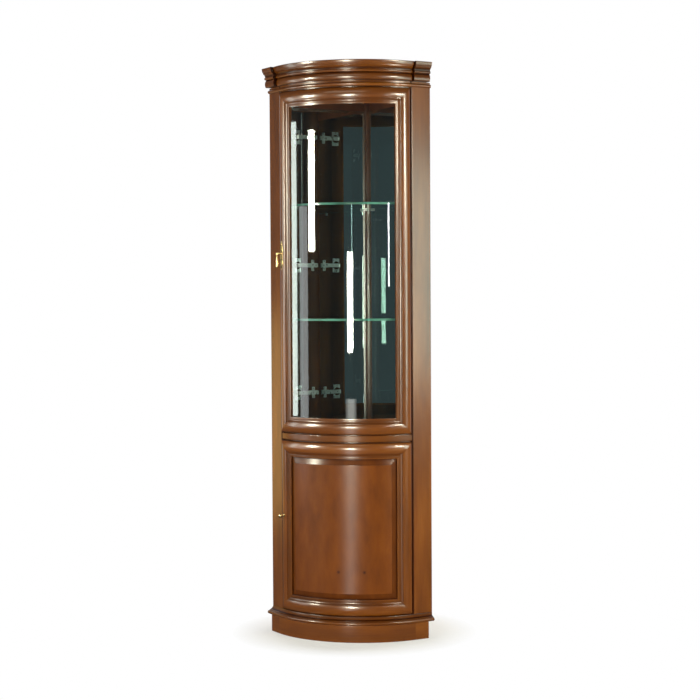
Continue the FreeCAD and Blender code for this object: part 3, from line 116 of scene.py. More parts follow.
# %% [markdown]
# ## The studio's lamps
#
# Polished wood is lit by what it mirrors. On a round, a bright soft box shows as a
# short oval gleam; down a bowed panel it shows as an upright band. One strong lamp
# could light the wood and gleam in it, but then neither could be set on its own. So
# the work is shared out. Small bright boxes show in the polish and light nothing.
# Fills light the wood and show in no polish. Dimmer boxes low down, at the sides and
# overhead do both, and two fills behind serve the back boards.


# %% Soft box
def soft_box(name, azimuth, distance, width, foot, head, glow, aim_height=None,
             tint=(1, 1, 1), gleam=True, lights=True):
    """An area lamp that looks at the cabinet; its glow is its brightness to the eye.

    With gleam off it shows in no polish; with lights off it shows only there.
    """
    lamp = bpy.data.lights.new(name, "AREA")
    lamp.color = tint
    lamp.shape = "RECTANGLE"
    lamp.size, lamp.size_y = width, head - foot
    lamp.energy = glow * math.pi * lamp.size * lamp.size_y
    holder = bpy.data.objects.new(name, lamp)
    bpy.context.scene.collection.objects.link(holder)
    turn, centre = math.radians(azimuth), (foot + head) / 2
    spot = Vector((distance * math.sin(turn), -distance * math.cos(turn), centre))
    holder.location = spot
    aim = Vector((0, 0, aim_height or centre)) - spot
    holder.rotation_euler = aim.to_track_quat("-Z", "Y").to_euler()
    holder.visible_glossy, holder.visible_diffuse = gleam, lights


WARM = (1.0, 0.96, 0.76)
soft_box("box_left", -49.5, 3.4, 0.50, 1.50, 2.17, 92, tint=WARM, lights=False)
print("the first box gives", round(bpy.data.lights["box_left"].energy), "W")

# %% Place the other lamps
# Each row says: azimuth, distance, width, foot and head of the box, glow.
soft_box("box_front", 0.0, 4.2, 0.48, 0.91, 1.51, 92, tint=WARM, lights=False)
soft_box("box_low", 0.0, 4.2, 0.70, 0.02, 0.40, 2.4, tint=WARM)
soft_box("box_right", 60.0, 3.0, 0.34, 1.85, 2.25, 78, tint=WARM, lights=False)
soft_box("box_right_low", 69.0, 3.0, 0.24, 0.70, 2.05, 15, tint=(0.88, 1.0, 0.84))
soft_box("box_thin", 47.7, 3.0, 0.07, 1.30, 1.74, 22)
soft_box("box_side", -62, 3.4, 0.75, 0.30, 1.75, 1.8)
soft_box("box_far_left", -77, 3.0, 0.46, 0.61, 2.18, 5.6, tint=(0.92, 1.0, 0.93))
soft_box("box_far_right", 80.5, 3.0, 0.60, 0.80, 1.95, 3.1, tint=(0.72, 1.0, 0.86))
soft_box("box_gold", -104, 3.0, 1.1, 0.05, 1.15, 1.1, tint=(1.0, 0.66, 0.2))
soft_box("box_over", -5, 2.7, 2.4, 2.9, 3.5, 2.0, aim_height=2.0, tint=(1.0, 0.9, 0.7))
soft_box("fill_right", 58, 3.2, 1.2, 0.1, 1.3, 13.0, tint=(1.0, 0.95, 0.62), gleam=False)
soft_box("fill_front", 0, 4.2, 1.2, 0.1, 1.3, 9.0, tint=WARM, gleam=False)
soft_box("fill_left", -42, 3.4, 1.2, 0.1, 1.2, 10.5, tint=WARM, gleam=False)
for side in (-1, 1):
    soft_box("fill_behind", side * 140, 3.2, 1.2, 0.6, 1.8, 13.0, gleam=False)
print("soft boxes:", len(bpy.data.lights))

# %% [markdown]
# ## Helpers for nodes
#
# A material could be wired by hand in the shader editor. Written as a few small calls
# it reads like a recipe instead, and every finish below is put together from them.


# %% Node helpers
def feed(tree, socket, value):
    """Gives a socket its value, or links the socket that feeds it."""
    if isinstance(value, bpy.types.NodeSocket):
        tree.links.new(value, socket)
    else:
        socket.default_value = value


def add(tree, kind, settings=None, **inputs):
    """Adds a node with its settings and its inputs."""
    made = tree.nodes.new(kind)
    for name, value in (settings or {}).items():
        setattr(made, name, value)
    for name, value in inputs.items():
        feed(tree, made.inputs[name.replace("_", " ")], value)
    return made


def calculate(tree, operation, *values):
    """A Math node's result."""
    made = add(tree, "ShaderNodeMath", {"operation": operation})
    for socket, value in zip(made.inputs, values):
        feed(tree, socket, value)
    return made.outputs[0]


def ramp(tree, factor, stops):
    """A colour ramp through (place, colour) stops."""
    made = add(tree, "ShaderNodeValToRGB", Fac=factor)
    elements = made.color_ramp.elements
    while len(elements) < len(stops):
        elements.new(0.5)
    for element, (spot, colour) in zip(elements, stops):
        element.position = spot
        element.color = (*colour, 1)
    return made.outputs["Color"]


def grey(value):
    return (value, value, value)


print("a middle grey is", grey(0.5))


# %% Helpers for the room's own light
def blend(tree, factor, first, second):
    """A Mix Shader between two shaders."""
    made = add(tree, "ShaderNodeMixShader", Fac=factor)
    tree.links.new(first.outputs[0], made.inputs[1])
    tree.links.new(second.outputs[0], made.inputs[2])
    return made


def kinds_of_ray(tree):
    """Whether a ray runs straight from the eye, also through glass; or off a gloss."""
    rays = add(tree, "ShaderNodeLightPath")
    straight = calculate(tree, "MAXIMUM", rays.outputs["Is Camera Ray"],
                         rays.outputs["Is Transmission Ray"])
    return straight, rays.outputs["Is Glossy Ray"]


ROOM = ((0.0, (0.044, 0.054, 0.056)), (0.40, (0.062, 0.088, 0.092)), (0.70, grey(0.09)),
        (0.86, grey(0.8)), (1.0, grey(1.0)))
print("the mirrored room has", len(ROOM), "tones from front to back")

# %% [markdown]
# ## World and floor
#
# What the eye sees past the cabinet is plain white. What the gloss mirrors is a room:
# dim in front, which keeps the mirrors of the display case deep and dark, and bright
# behind. More light on the object would whiten the backdrop too, but it would bleach
# the wood, so the Light Path node tells the kinds of ray apart instead.

# %% World
world = bpy.data.worlds.new("studio")
bpy.context.scene.world = world
world.use_nodes = True
world.cycles.sampling_method = "NONE"
tree = world.node_tree
tree.nodes.clear()
direction = add(tree, "ShaderNodeTexCoord").outputs["Generated"]
parts = add(tree, "ShaderNodeSeparateXYZ", Vector=direction)
room = ramp(tree, calculate(tree, "MULTIPLY_ADD", parts.outputs["Y"], 0.5, 0.5), ROOM)
fill = add(tree, "ShaderNodeBackground", Color=(1.0, 0.95, 0.80, 1), Strength=0.13)
mirrored = add(tree, "ShaderNodeBackground", Color=room, Strength=1.0)
backdrop = add(tree, "ShaderNodeBackground", Color=(1, 1, 1, 1), Strength=1.0)
straight, glossy = kinds_of_ray(tree)
shown = blend(tree, straight, blend(tree, glossy, fill, mirrored), backdrop)
add(tree, "ShaderNodeOutputWorld", Surface=shown.outputs[0])
bpy.context.scene.view_settings.view_transform = "Standard"
print("world nodes:", len(tree.nodes))

# %% [markdown]
# The floor is a wide disc. To the eye it is pale paint near the feet, where it holds
# the cabinet's shadow, and it melts into the white further out. To the gloss it
# carries the room's dim tones, and one strip of bright floor in front, which gives
# the lowest rounds their gleam. A real floor of polished boards would do the same,
# but its colour would then show in the shadow.

# %% Floor's paint and what the gloss sees of it
WHITE_FROM, WHITE_ALL = 0.32, 0.46
PALEST_SHARE = 0.4
STRIP_FULL, STRIP_GONE, STRIP_STARTS = 0.05, 0.13, -0.6

floor_paint = bpy.data.materials.new("studio_floor")
floor_paint.use_nodes = True
tree = floor_paint.node_tree
tree.nodes.clear()
spot = add(tree, "ShaderNodeTexCoord").outputs["Object"]
parts = add(tree, "ShaderNodeSeparateXYZ", Vector=spot)
depth = parts.outputs["Y"]
paint = add(tree, "ShaderNodeBsdfDiffuse", Color=(0.93, 0.93, 0.93, 1))
glow = add(tree, "ShaderNodeEmission", Color=(1, 1, 1, 1), Strength=1.0)
room = ramp(tree, calculate(tree, "MULTIPLY_ADD", depth, 0.07, 0.5), ROOM)
dim = add(tree, "ShaderNodeEmission", Color=room, Strength=1.0)
gleam = add(tree, "ShaderNodeEmission", Color=(1, 1, 0.94, 1), Strength=2.6)
slant = calculate(tree, "ABSOLUTE", calculate(tree, "DIVIDE", parts.outputs["X"], depth))
strip = add(tree, "ShaderNodeMapRange", Value=slant, From_Min=STRIP_FULL,
            From_Max=STRIP_GONE, To_Min=1.0, To_Max=0.0)
in_front = calculate(tree, "LESS_THAN", depth, STRIP_STARTS)
mirrored = blend(tree, calculate(tree, "MULTIPLY", strip.outputs["Result"], in_front),
                 dim, gleam)
print("floor's shaders:", paint.name, dim.name, gleam.name)

# %% Floor
far = add(tree, "ShaderNodeVectorMath", {"operation": "LENGTH"}, Vector=spot)
fade = add(tree, "ShaderNodeMapRange", Value=far.outputs["Value"], From_Min=WHITE_FROM,
           From_Max=WHITE_ALL)
straight, glossy = kinds_of_ray(tree)
whitened = calculate(tree, "MULTIPLY_ADD", fade.outputs["Result"], 1 - PALEST_SHARE,
                     PALEST_SHARE)
shown = blend(tree, calculate(tree, "MULTIPLY", straight, whitened),
              blend(tree, glossy, paint, mirrored), glow)
add(tree, "ShaderNodeOutputMaterial", Surface=shown.outputs[0])

sheet = bmesh.new()
bmesh.ops.create_circle(sheet, cap_ends=True, radius=14, segments=96)
floor = bpy.data.objects.new("floor", bpy.data.meshes.new("floor"))
sheet.to_mesh(floor.data)
sheet.free()
bpy.context.scene.collection.objects.link(floor)
floor.location.z = -0.5 * MM
floor.data.materials.append(floor_paint)
print("floor and world are in place")

# %% [markdown]
# ## Cherry, stained and lacquered
#
# The show wood is cherry, stained a warm red brown under a satin lacquer. Wood is a
# bundle of long cells, so its figure is long and thin. An image of a board would
# repeat and would not turn with a bent piece, so the figure is noise, read with its
# coordinates squeezed along the grain. Three layers are stacked: broad figure, fine
# streaks, and short dark pores.
#
# Stain gathers in the hollows of a moulding and on end grain, where it also dulls the
# lacquer. Each piece carries a value for that, high in its quirks. The same value also
# carries painted shade: along the doors' outer edges and the returns beside them, in
# the panel's recess, over the rail between the doors, the base moulding and the crown.
# A number that is the same all over the surface sits on the shader's own socket.


# %% Material helpers
def start_material(name):
    """An empty material: its tree and its shader, wired to the output."""
    made = bpy.data.materials.new(name)
    made.use_nodes = True
    tree = made.node_tree
    tree.nodes.clear()
    shader = add(tree, "ShaderNodeBsdfPrincipled")
    add(tree, "ShaderNodeOutputMaterial", Surface=shader.outputs[0])
    return made, tree, shader


def set_inputs(tree, shader, **values):
    """Sets or feeds the shader's sockets, whose names are written with _ for a space."""
    for name, value in values.items():
        feed(tree, shader.inputs[name.replace("_", " ")], value)


def noise_along(tree, place, axis, along, across, detail, roughness=0.55):
    """Noise that is long along one axis: so many features per metre each way."""
    scale = [across] * 3
    scale[axis] = along
    stretched = add(tree, "ShaderNodeVectorMath", {"operation": "MULTIPLY"})
    feed(tree, stretched.inputs[0], place)
    feed(tree, stretched.inputs[1], scale)
    noise = add(tree, "ShaderNodeTexNoise", Vector=stretched.outputs[0], Scale=1.0,
                Detail=detail, Roughness=roughness)
    return noise.outputs["Fac"]


def darken(tree, colour, factor, shade):
    """Multiplies a colour by a shade, as far as the factor says."""
    made = add(tree, "ShaderNodeMix", {"data_type": "RGBA", "blend_type": "MULTIPLY"})
    feed(tree, made.inputs[0], factor)
    feed(tree, made.inputs[6], colour)
    feed(tree, made.inputs[7], (*shade, 1))
    return made.outputs[2]


print("material helpers ready; materials so far:", len(bpy.data.materials))

# %% Stains, from the darkest figure to the palest
CHERRY = ((0.0, (0.092, 0.0235, 0.0010)), (0.40, (0.142, 0.0370, 0.0012)),
          (0.62, (0.174, 0.0470, 0.0018)), (1.0, (0.235, 0.0700, 0.0050)))
QUIET = ((0.0, (0.105, 0.0250, 0.0010)), (0.50, (0.142, 0.0345, 0.0012)),
         (1.0, (0.180, 0.0460, 0.0020)))
INSIDE = ((0.0, (0.060, 0.018, 0.006)), (0.5, (0.105, 0.032, 0.010)),
          (1.0, (0.150, 0.050, 0.016)))
RAW = ((0.0, (0.350, 0.205, 0.110)), (0.5, (0.480, 0.310, 0.180)),
       (1.0, (0.580, 0.410, 0.260)))
print("stains:", len((CHERRY, QUIET, INSIDE, RAW)))

# %% [markdown]
# Coordinates come from the piece itself. Curved pieces carry a "grain" attribute, with
# the distance along the piece first, so the figure follows the bend as it does in bent
# or sawn work. Flat solids read their own coordinates.


# %% Marks on the wood
KNOT_CORE, KNOT_RIM = 1.5 * MM, 8 * MM


def stain_inner_face(tree, place, colour, bare_beyond):
    """Stains a back board where it lies nearer than this to the bow's axis."""
    at = add(tree, "ShaderNodeSeparateXYZ", Vector=place)
    outward = calculate(tree, "ADD", calculate(tree, "ABSOLUTE", at.outputs["X"]),
                        at.outputs["Y"])
    inner = calculate(tree, "LESS_THAN", outward, AXIS_Y + math.sqrt(2) * bare_beyond)
    return darken(tree, colour, inner, (0.20, 0.095, 0.055))


def mark_knot(tree, place, colour, spot):
    """A small dark pin knot."""
    away = add(tree, "ShaderNodeVectorMath", {"operation": "DISTANCE"})
    feed(tree, away.inputs[0], place)
    feed(tree, away.inputs[1], spot)
    near = add(tree, "ShaderNodeMapRange", Value=away.outputs["Value"],
               From_Min=KNOT_CORE, From_Max=KNOT_RIM, To_Min=1.0, To_Max=0.0)
    return darken(tree, colour, near.outputs["Result"], (0.30, 0.26, 0.26))


print("a pin knot fades out", round(KNOT_RIM / MM), "mm from its middle")


# %% Wood shader
def wood(name, colours, axis=None, gloss=0.38, lacquer=1.0, streak=0.30, broad=17,
         run=2.4, knots=(), bare_beyond=None, haze=0.23):
    """Wood whose grain runs along its own attribute, or along an axis of its solid."""
    made, tree, shader = start_material(name)
    if axis is None:
        source = add(tree, "ShaderNodeAttribute", {"attribute_name": "grain"})
        place, axis = source.outputs["Vector"], 0
    else:
        place = add(tree, "ShaderNodeTexCoord").outputs["Object"]
    figure = noise_along(tree, place, axis, along=run, across=broad, detail=3.0)
    streaks = noise_along(tree, place, axis, along=6, across=330, detail=5.0,
                          roughness=0.7)
    pores = noise_along(tree, place, axis, along=70, across=1900, detail=2.0)
    lines = calculate(tree, "MULTIPLY_ADD", streaks, streak, -streak / 2)
    colour = ramp(tree, calculate(tree, "ADD", figure, lines),
                  [(0.22 + 0.56 * spot, tone) for spot, tone in colours])
    if bare_beyond:
        colour = stain_inner_face(tree, place, colour, bare_beyond)
    flecks = ramp(tree, pores, ((0.62, grey(0.0)), (0.72, grey(1.0))))
    colour = darken(tree, colour, flecks, (0.80, 0.75, 0.72))
    # This value darkens the colour: real glaze in the quirks and on end grain, and
    # painted shade at the door edges, the returns beside them, the panel's recess, the
    # mid rail, the base and the crown.
    glaze_and_shade = add(tree, "ShaderNodeAttribute", {"attribute_name": "glaze_and_shade"}).outputs["Fac"]
    colour = darken(tree, colour, glaze_and_shade, (0.20, 0.15, 0.13))
    for spot in knots:
        colour = mark_knot(tree, place, colour, spot)
    relief = calculate(tree, "MULTIPLY_ADD", pores, -0.6, streaks)
    bump = add(tree, "ShaderNodeBump", Strength=0.05, Distance=0.4 * MM, Height=relief)
    dulled = calculate(tree, "MULTIPLY_ADD", glaze_and_shade, -0.8 * lacquer, lacquer)
    set_inputs(tree, shader, Base_Color=colour, Normal=bump.outputs[0],
               Roughness=calculate(tree, "MULTIPLY_ADD", streaks, 0.14, gloss - 0.07),
               Coat_Weight=dulled if lacquer else 0.0, Coat_Roughness=haze,
               Coat_IOR=1.8, IOR=1.5, Specular_IOR_Level=0.03)
    return made


cherry = wood("cherry_lacquered", CHERRY)
print(cherry.name, "has", len(cherry.node_tree.nodes), "nodes")

# %% Other wood finishes
BACK_BOARD_MIDDLE = 70 * MM
cherry_level = wood("cherry_level", CHERRY, axis=0)
inside_upright = wood("case_inside_upright", INSIDE, axis=2, gloss=0.42)
inside_level = wood("case_inside_level", INSIDE, axis=0, gloss=0.42)
back_board = wood("back_board", RAW, axis=2, gloss=0.7, lacquer=0.0,
                  bare_beyond=BACK_BOARD_MIDDLE)
raw_level = wood("raw_wood_level", RAW, axis=0, gloss=0.7, lacquer=0.0)
for finish in (cherry_level, inside_upright, inside_level, back_board, raw_level):
    print(finish.name, "has", len(finish.node_tree.nodes), "nodes")

# %% [markdown]
# ## Glass and mirror
#
# Thin clear glass shows by what it reflects and by the green of its edges. It could be
# a solid that refracts, but a pane hardly bends a view, and refraction leaves the case
# behind it dark. So a pane is a mirror with a low opacity: the Fresnel node gives the
# share that glass mirrors, the rest goes straight through, and wiping marks add a
# faint haze. The cut edges are their own, greener finish.


# %% Glass
def glass(name, tint, body, gloss):
    """A thin pane: it mirrors as much as glass does, and lets the rest through."""
    made, tree, shader = start_material(name)
    place = add(tree, "ShaderNodeTexCoord").outputs["Object"]
    marks = noise_along(tree, place, 2, along=9, across=22, detail=4.0, roughness=0.7)
    facing = add(tree, "ShaderNodeFresnel", IOR=1.52).outputs[0]
    front = calculate(tree, "SUBTRACT", 1.0,
                      add(tree, "ShaderNodeNewGeometry").outputs["Backfacing"])
    both_faces = calculate(tree, "MULTIPLY", facing, 2.0)
    share = calculate(tree, "ADD", calculate(tree, "MULTIPLY", both_faces, front),
                      calculate(tree, "MULTIPLY", marks, body))
    set_inputs(tree, shader, Base_Color=(*tint, 1), Metallic=1.0, Alpha=share,
               Roughness=calculate(tree, "MULTIPLY_ADD", marks, 0.03, gloss))
    return made


def green_edge(name, colour):
    """The cut edge of thick glass: green from all the light that has run through it."""
    made, tree, shader = start_material(name)
    place = add(tree, "ShaderNodeTexCoord").outputs["Object"]
    depths = noise_along(tree, place, 2, along=30, across=14, detail=2.0)
    dark, light = [tuple(share * part for part in colour) for share in (0.55, 1.25)]
    shade = ramp(tree, depths, ((0.35, dark), (0.65, light)))
    set_inputs(tree, shader, Base_Color=shade, Roughness=0.12, IOR=1.52)
    return made


pane = glass("door_glass", (0.96, 1.0, 0.99), body=0.02, gloss=0.0)
shelf_glass = glass("shelf_glass", (0.70, 0.92, 0.86), body=0.05, gloss=0.01)
glass_edge = green_edge("glass_edge", (0.10, 0.30, 0.24))
print("glass:", pane.name, shelf_glass.name, glass_edge.name)

# %% [markdown]
# ## Brass, steel and silvering
#
# The fittings are polished brass with a little tarnish, and nickelled steel inside.
# The mirrors are silvered glass, a metal with hardly any roughness. All of them could
# be one flat colour under a strong gloss, but handled metal is never even, so a film
# of noise dulls it here and there and fine scratches break its gloss.


# %% Metals
def metal(name, bright, dull, gloss, scale=60.0, wear=0.22, scratched=0.05,
          metallic=1.0):
    """A polished metal, or a hard plastic, dulled here and there by a film."""
    made, tree, shader = start_material(name)
    place = add(tree, "ShaderNodeTexCoord").outputs["Object"]
    film = add(tree, "ShaderNodeTexNoise", Vector=place, Scale=scale,
               Detail=5.0).outputs["Fac"]
    scratches = noise_along(tree, place, 2, along=120, across=2600, detail=2.0)
    bump = add(tree, "ShaderNodeBump", Strength=scratched, Distance=0.1 * MM,
               Height=scratches)
    set_inputs(tree, shader, Normal=bump.outputs[0], Metallic=metallic,
               Base_Color=ramp(tree, film, ((0.42, bright), (0.75, dull))),
               Roughness=calculate(tree, "MULTIPLY_ADD", film, wear, gloss - wear / 2))
    return made


silvering = metal("mirror_silvering", (0.74, 0.86, 0.85), (0.70, 0.82, 0.81), gloss=0.01,
                  scale=3.0, wear=0.01, scratched=0.0)
brass = metal("brass_polished", (0.82, 0.60, 0.28), (0.56, 0.38, 0.15), gloss=0.26)
nickel = metal("nickelled_steel", (0.92, 0.91, 0.88), (0.62, 0.61, 0.58), gloss=0.30,
               metallic=0.7)
screw_steel = metal("screw_steel", (0.62, 0.60, 0.56), (0.30, 0.29, 0.27), gloss=0.30)
plastic = metal("catch_case", (0.055, 0.035, 0.025), (0.04, 0.026, 0.02), gloss=0.5,
                metallic=0.0)
print("metals:", silvering.name, brass.name, nickel.name, screw_steel.name)

# %% [markdown]
# ## Sections
#
# A moulding is a section carried along a line. Real ones are run with a plane or a
# cutter. A bevelled curve object would carry a section too, but it can't mitre its
# ends on a bow, so the section's points are worked out here. It is drawn from straight
# and curved stretches, and its sharp arrises are eased a little, because no sanded
# edge is truly sharp and the ease is what catches the light.


# %% Sections
def stretch(start, end, radius, bulge, steps=12):
    """Points of an arc from start to end, bulging right (1) or left (-1) of its run."""
    start, end = Vector(start), Vector(end)
    run = end - start
    aside = Vector((run.y, -run.x)).normalized() * bulge
    rise = math.sqrt(max(radius**2 - (run.length / 2) ** 2, 0))
    centre = (start + end) / 2 - aside * rise
    first = math.atan2(start.y - centre.y, start.x - centre.x)
    sweep = 2 * math.asin(min(run.length / 2 / radius, 1)) * bulge
    turns = [first + sweep * k / steps for k in range(1, steps + 1)]
    return [centre + Vector((math.cos(a), math.sin(a))) * radius for a in turns]


def section(corners, ease=0.35, sharp=25):
    """A closed section in millimetres, from corners (x, y) or (x, y, radius, bulge)."""
    points = []
    before = corners[-1][:2]
    for corner in corners:
        if len(corner) == 4:
            points += stretch(before, corner[:2], corner[2], corner[3])
        else:
            points.append(Vector(corner))
        before = corner[:2]
    eased = []
    for k, point in enumerate(points):
        back = points[k - 1] - point
        ahead = points[(k + 1) % len(points)] - point
        turn = math.degrees(math.pi - back.angle(ahead))
        cut = min(ease, back.length / 3, ahead.length / 3)
        if turn < sharp or cut <= 0:
            eased.append(point)
            continue
        first, last = point + back.normalized() * cut, point + ahead.normalized() * cut
        eased += [first, (first + last + 2 * point) / 4, last]
    return [(p.x * MM, p.y * MM) for p in eased]


print("a sample section has", len(section([(0, 0), (9, 0), (9, 9, 12, 1), (0, 9)])))

# %% [markdown]
# Where a section dips below its neighbours, the wiped-off stain stays. The depth of
# each point is measured against the points around it, which finds every quirk by
# itself. Painting them by hand would take longer on each new section.

# %% Stain in the hollows, and painted shade
COVE_FROM, COVE_TO, COVE_WAX = 38.5 * MM, 57.5 * MM, 0.42
# The door's outer edge is darkened with painted shade, for the gap where it meets the
# return.
EDGE_DARK, EDGE_CLEAR = 1 * MM, 4.5 * MM


def quirks(points, width=6 * MM, outward=1):
    """How deep each point of a section lies in a hollow: 0 on a crest, up to 1."""
    places = np.array(points)
    depths = []
    for place in places:
        near = places[np.linalg.norm(places - place, axis=1) < width]
        depths.append(max(0.0, near[:, outward].mean() - place[outward]) / (0.35 * width))
    return np.clip(depths, 0, 1)


def door_glaze_and_shade(points):
    """Glaze in a door frame's quirks and waxed cove, and painted shade on its outer edge.
    """
    across = np.array(points)[:, 0]
    edge = np.clip((EDGE_CLEAR - across) / (EDGE_CLEAR - EDGE_DARK), 0, 1) * 0.85
    cove = np.where((across > COVE_FROM) & (across < COVE_TO), COVE_WAX, 0.0)
    return np.maximum.reduce([quirks(points), edge, cove])


def case_glaze_and_shade(points, even):
    """The glaze in a case moulding's hollows, seen from the front, over an even painted
    shade.
    """
    return np.clip(1.6 * quirks(points, 12 * MM, outward=0) + even, 0, 1)


print("a groove's floor holds", quirks([(0, 0), (2 * MM, -3 * MM), (4 * MM, 0)]).max())

# %% [markdown]
# ## Carrying a section
#
# The next tools join the section's stations with faces. Every point also gets its
# grain coordinates: first the distance along the piece, then its place in the section.
# Each piece is shifted, so that no two are cut from the same spot of the board. Smooth
# shading alone would tilt at the narrow eased edges, so a Weighted Normal modifier
# lets the large faces decide.

# %% Finish a piece
made_pieces = []


def finish_piece(name, form, body, nodes, finish, smooth=32):
    """Turns a bmesh into a piece of the cabinet that stands for some of its solids."""
    mesh = bpy.data.meshes.new(name)
    bmesh.ops.recalc_face_normals(form, faces=form.faces)
    form.to_mesh(mesh)
    form.free()
    for face in mesh.polygons:
        face.use_smooth = True
    mesh.set_sharp_from_angle(angle=math.radians(smooth))
    made = bpy.data.objects.new(name, mesh)
    bpy.context.scene.collection.objects.link(made)
    even = made.modifiers.new("even_normals", "WEIGHTED_NORMAL")
    even.keep_sharp = True
    for material in finish if isinstance(finish, (list, tuple)) else [finish]:
        mesh.materials.append(material)
    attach(made, body)
    if nodes:
        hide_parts(*nodes)
    made_pieces.append(name)
    return made


# %% Join rings of points
def carry(name, rings, grains, glaze_and_shade, body, nodes):
    """A length of show wood through rings of points, closed by a face at each end."""
    form = bmesh.new()
    grain_of = form.verts.layers.float_vector.new("grain")
    glaze_and_shade_of = form.verts.layers.float.new("glaze_and_shade")
    shift = Vector((0.37, 0.11, 0.23)) * (len(made_pieces) + 1)
    rows = []
    for ring, grain, shade in zip(rings, grains, glaze_and_shade):
        row = []
        for point, along, dark in zip(ring, grain, shade):
            vert = form.verts.new(point)
            vert[grain_of] = Vector(along) + shift
            vert[glaze_and_shade_of] = dark
            row.append(vert)
        rows.append(row)
    for first, second in zip(rows, rows[1:]):
        for k in range(len(first)):
            form.faces.new((first[k - 1], first[k], second[k], second[k - 1]))
    form.faces.new(rows[0])
    form.faces.new(rows[-1])
    return finish_piece(name, form, body, nodes, cherry)


print("show wood gets", cherry.name)

# %% [markdown]
# A member's ends are cut to a mitre or a slant, so each point of the section has its
# own run. If all stations were spread between those ends, the facets of a bowed rail
# would lean. So the middle keeps straight stations, and only the end quarters shear to
# the cut. A hair's breadth from each end comes one more station, which keeps the dark
# stain of the end grain off the face.

# %% Run a moulding
END_QUARTER = 0.25
HAIR = 0.0012


def run_moulding(name, points, reach, spot, body, nodes, shade, steps=1, lengthwise=1):
    """Carries a section: reach(x, y) gives its run's ends, spot(x, y, run) a point."""
    dark = np.broadcast_to(shade, len(points))
    stations = sorted({k / steps for k in range(steps + 1)} | {HAIR, 1 - HAIR})
    rings, grains, glaze_and_shade = [], [], []
    plain_first, plain_last = reach(*points[0])
    for share in stations:
        ring, grain = [], []
        to_first = max(0, 1 - share / END_QUARTER)
        to_last = max(0, 1 - (1 - share) / END_QUARTER)
        for x, y in points:
            first, last = reach(x, y)
            run = plain_first + (plain_last - plain_first) * share
            run += (first - plain_first) * to_first + (last - plain_last) * to_last
            ring.append(spot(x, y, run))
            grain.append((run * lengthwise, x, y))
        rings.append(ring)
        grains.append(grain)
        at_end = share in (0, 1)
        glaze_and_shade.append(np.clip(dark + 0.8, 0, 1) if at_end else dark)
    return carry(name, rings, grains, glaze_and_shade, body, nodes)


print("end stations lie", HAIR, "of the length from the cuts")

# %% [markdown]
# ## Door frames
#
# Each door has two upright stiles and two bowed rails, all with the same section: a
# broad round with its crest a third of the way in, a quirk, a small step and a hollow
# that runs down to the glass. The members meet in mitres, where the round of one runs
# into the round of the next. Cutting solid against solid would find the mitres too,
# but on a bow they are simplest in the flat: a point that lies "in" from the door's
# edge is as far in from every edge, so a member's ends follow from its own section.


# %% Section of the door frames
def frame_front():
    """The moulded front of a frame member, from the glass out to the door's edge."""
    inner_round, outer_round = 40.45, 39.2
    return [(58, 3.2), (52, 3.5), (40, 7.5, 13, -1), (38, 7.5), (38, 10.5),
            (24, 13, inner_round, 1), (1.5, 5.9, outer_round, 1), (0, 4.4)]


REBATED = [(0, -9.4), (51, -9.4), (51, -1), (58, -1)]
GROOVED = [(0, -9.4), (58, -9.4), (58, -6.8), (51, -6.8), (51, -1), (58, -1)]
print("points of the glazed door's section:", len(section(REBATED + frame_front())))


# %% Door frame members
def door_frame(word, door, back):
    """Two stiles and two rails of one door, mitred at the corners."""
    body = f"{word}_door"
    low, high = door
    points = section(back + frame_front())
    glaze_and_shade = door_glaze_and_shade(points)
    for side, hand in SIDES:
        run_moulding(
            f"{body}_stile_{hand}", points,
            lambda x, y: (low + x, high - x),
            lambda x, y, run: on_bow(BOW + y, side * (DOOR_HALF - x / BOW), run),
            body, [f"{body}_{hand}_stile"], glaze_and_shade)
    for end, height in (("bottom", lambda x: low + x), ("top", lambda x: high - x)):
        run_moulding(
            f"{body}_rail_{end}", points,
            lambda x, y: (-(DOOR_HALF - x / BOW), DOOR_HALF - x / BOW),
            lambda x, y, run: on_bow(BOW + y, run, height(x)),
            body, [f"{body}_{end}_rail"], glaze_and_shade, steps=72, lengthwise=BOW)


door_frame("display", UPPER_DOOR, REBATED)
door_frame("cupboard", LOWER_DOOR, GROOVED)
print("door frame members:", len(made_pieces))

# %% [markdown]
# ## Raised panel and door glass
#
# The cupboard door's panel is thin at its edge, rises over a bevel, and has a flat
# field with a small step round it. It could be a grid that a curve modifier bends. It
# is a set of rings instead, one inside the other, each as far from the door's edge on
# all four sides, because the bevel then keeps its width round the bow. The bowed glass
# above is the same thing with no bevel, so one tool makes both.


# %% Bowed sheets
WIDE, TALL = 56, 6


def sheet_edge():
    """Places round the edge of a sheet, in order."""
    there = [(i, 0) for i in range(WIDE)] + [(WIDE, j) for j in range(TALL)]
    back = [(WIDE - i, TALL) for i in range(WIDE)] + [(0, TALL - j) for j in range(TALL)]
    return there + back


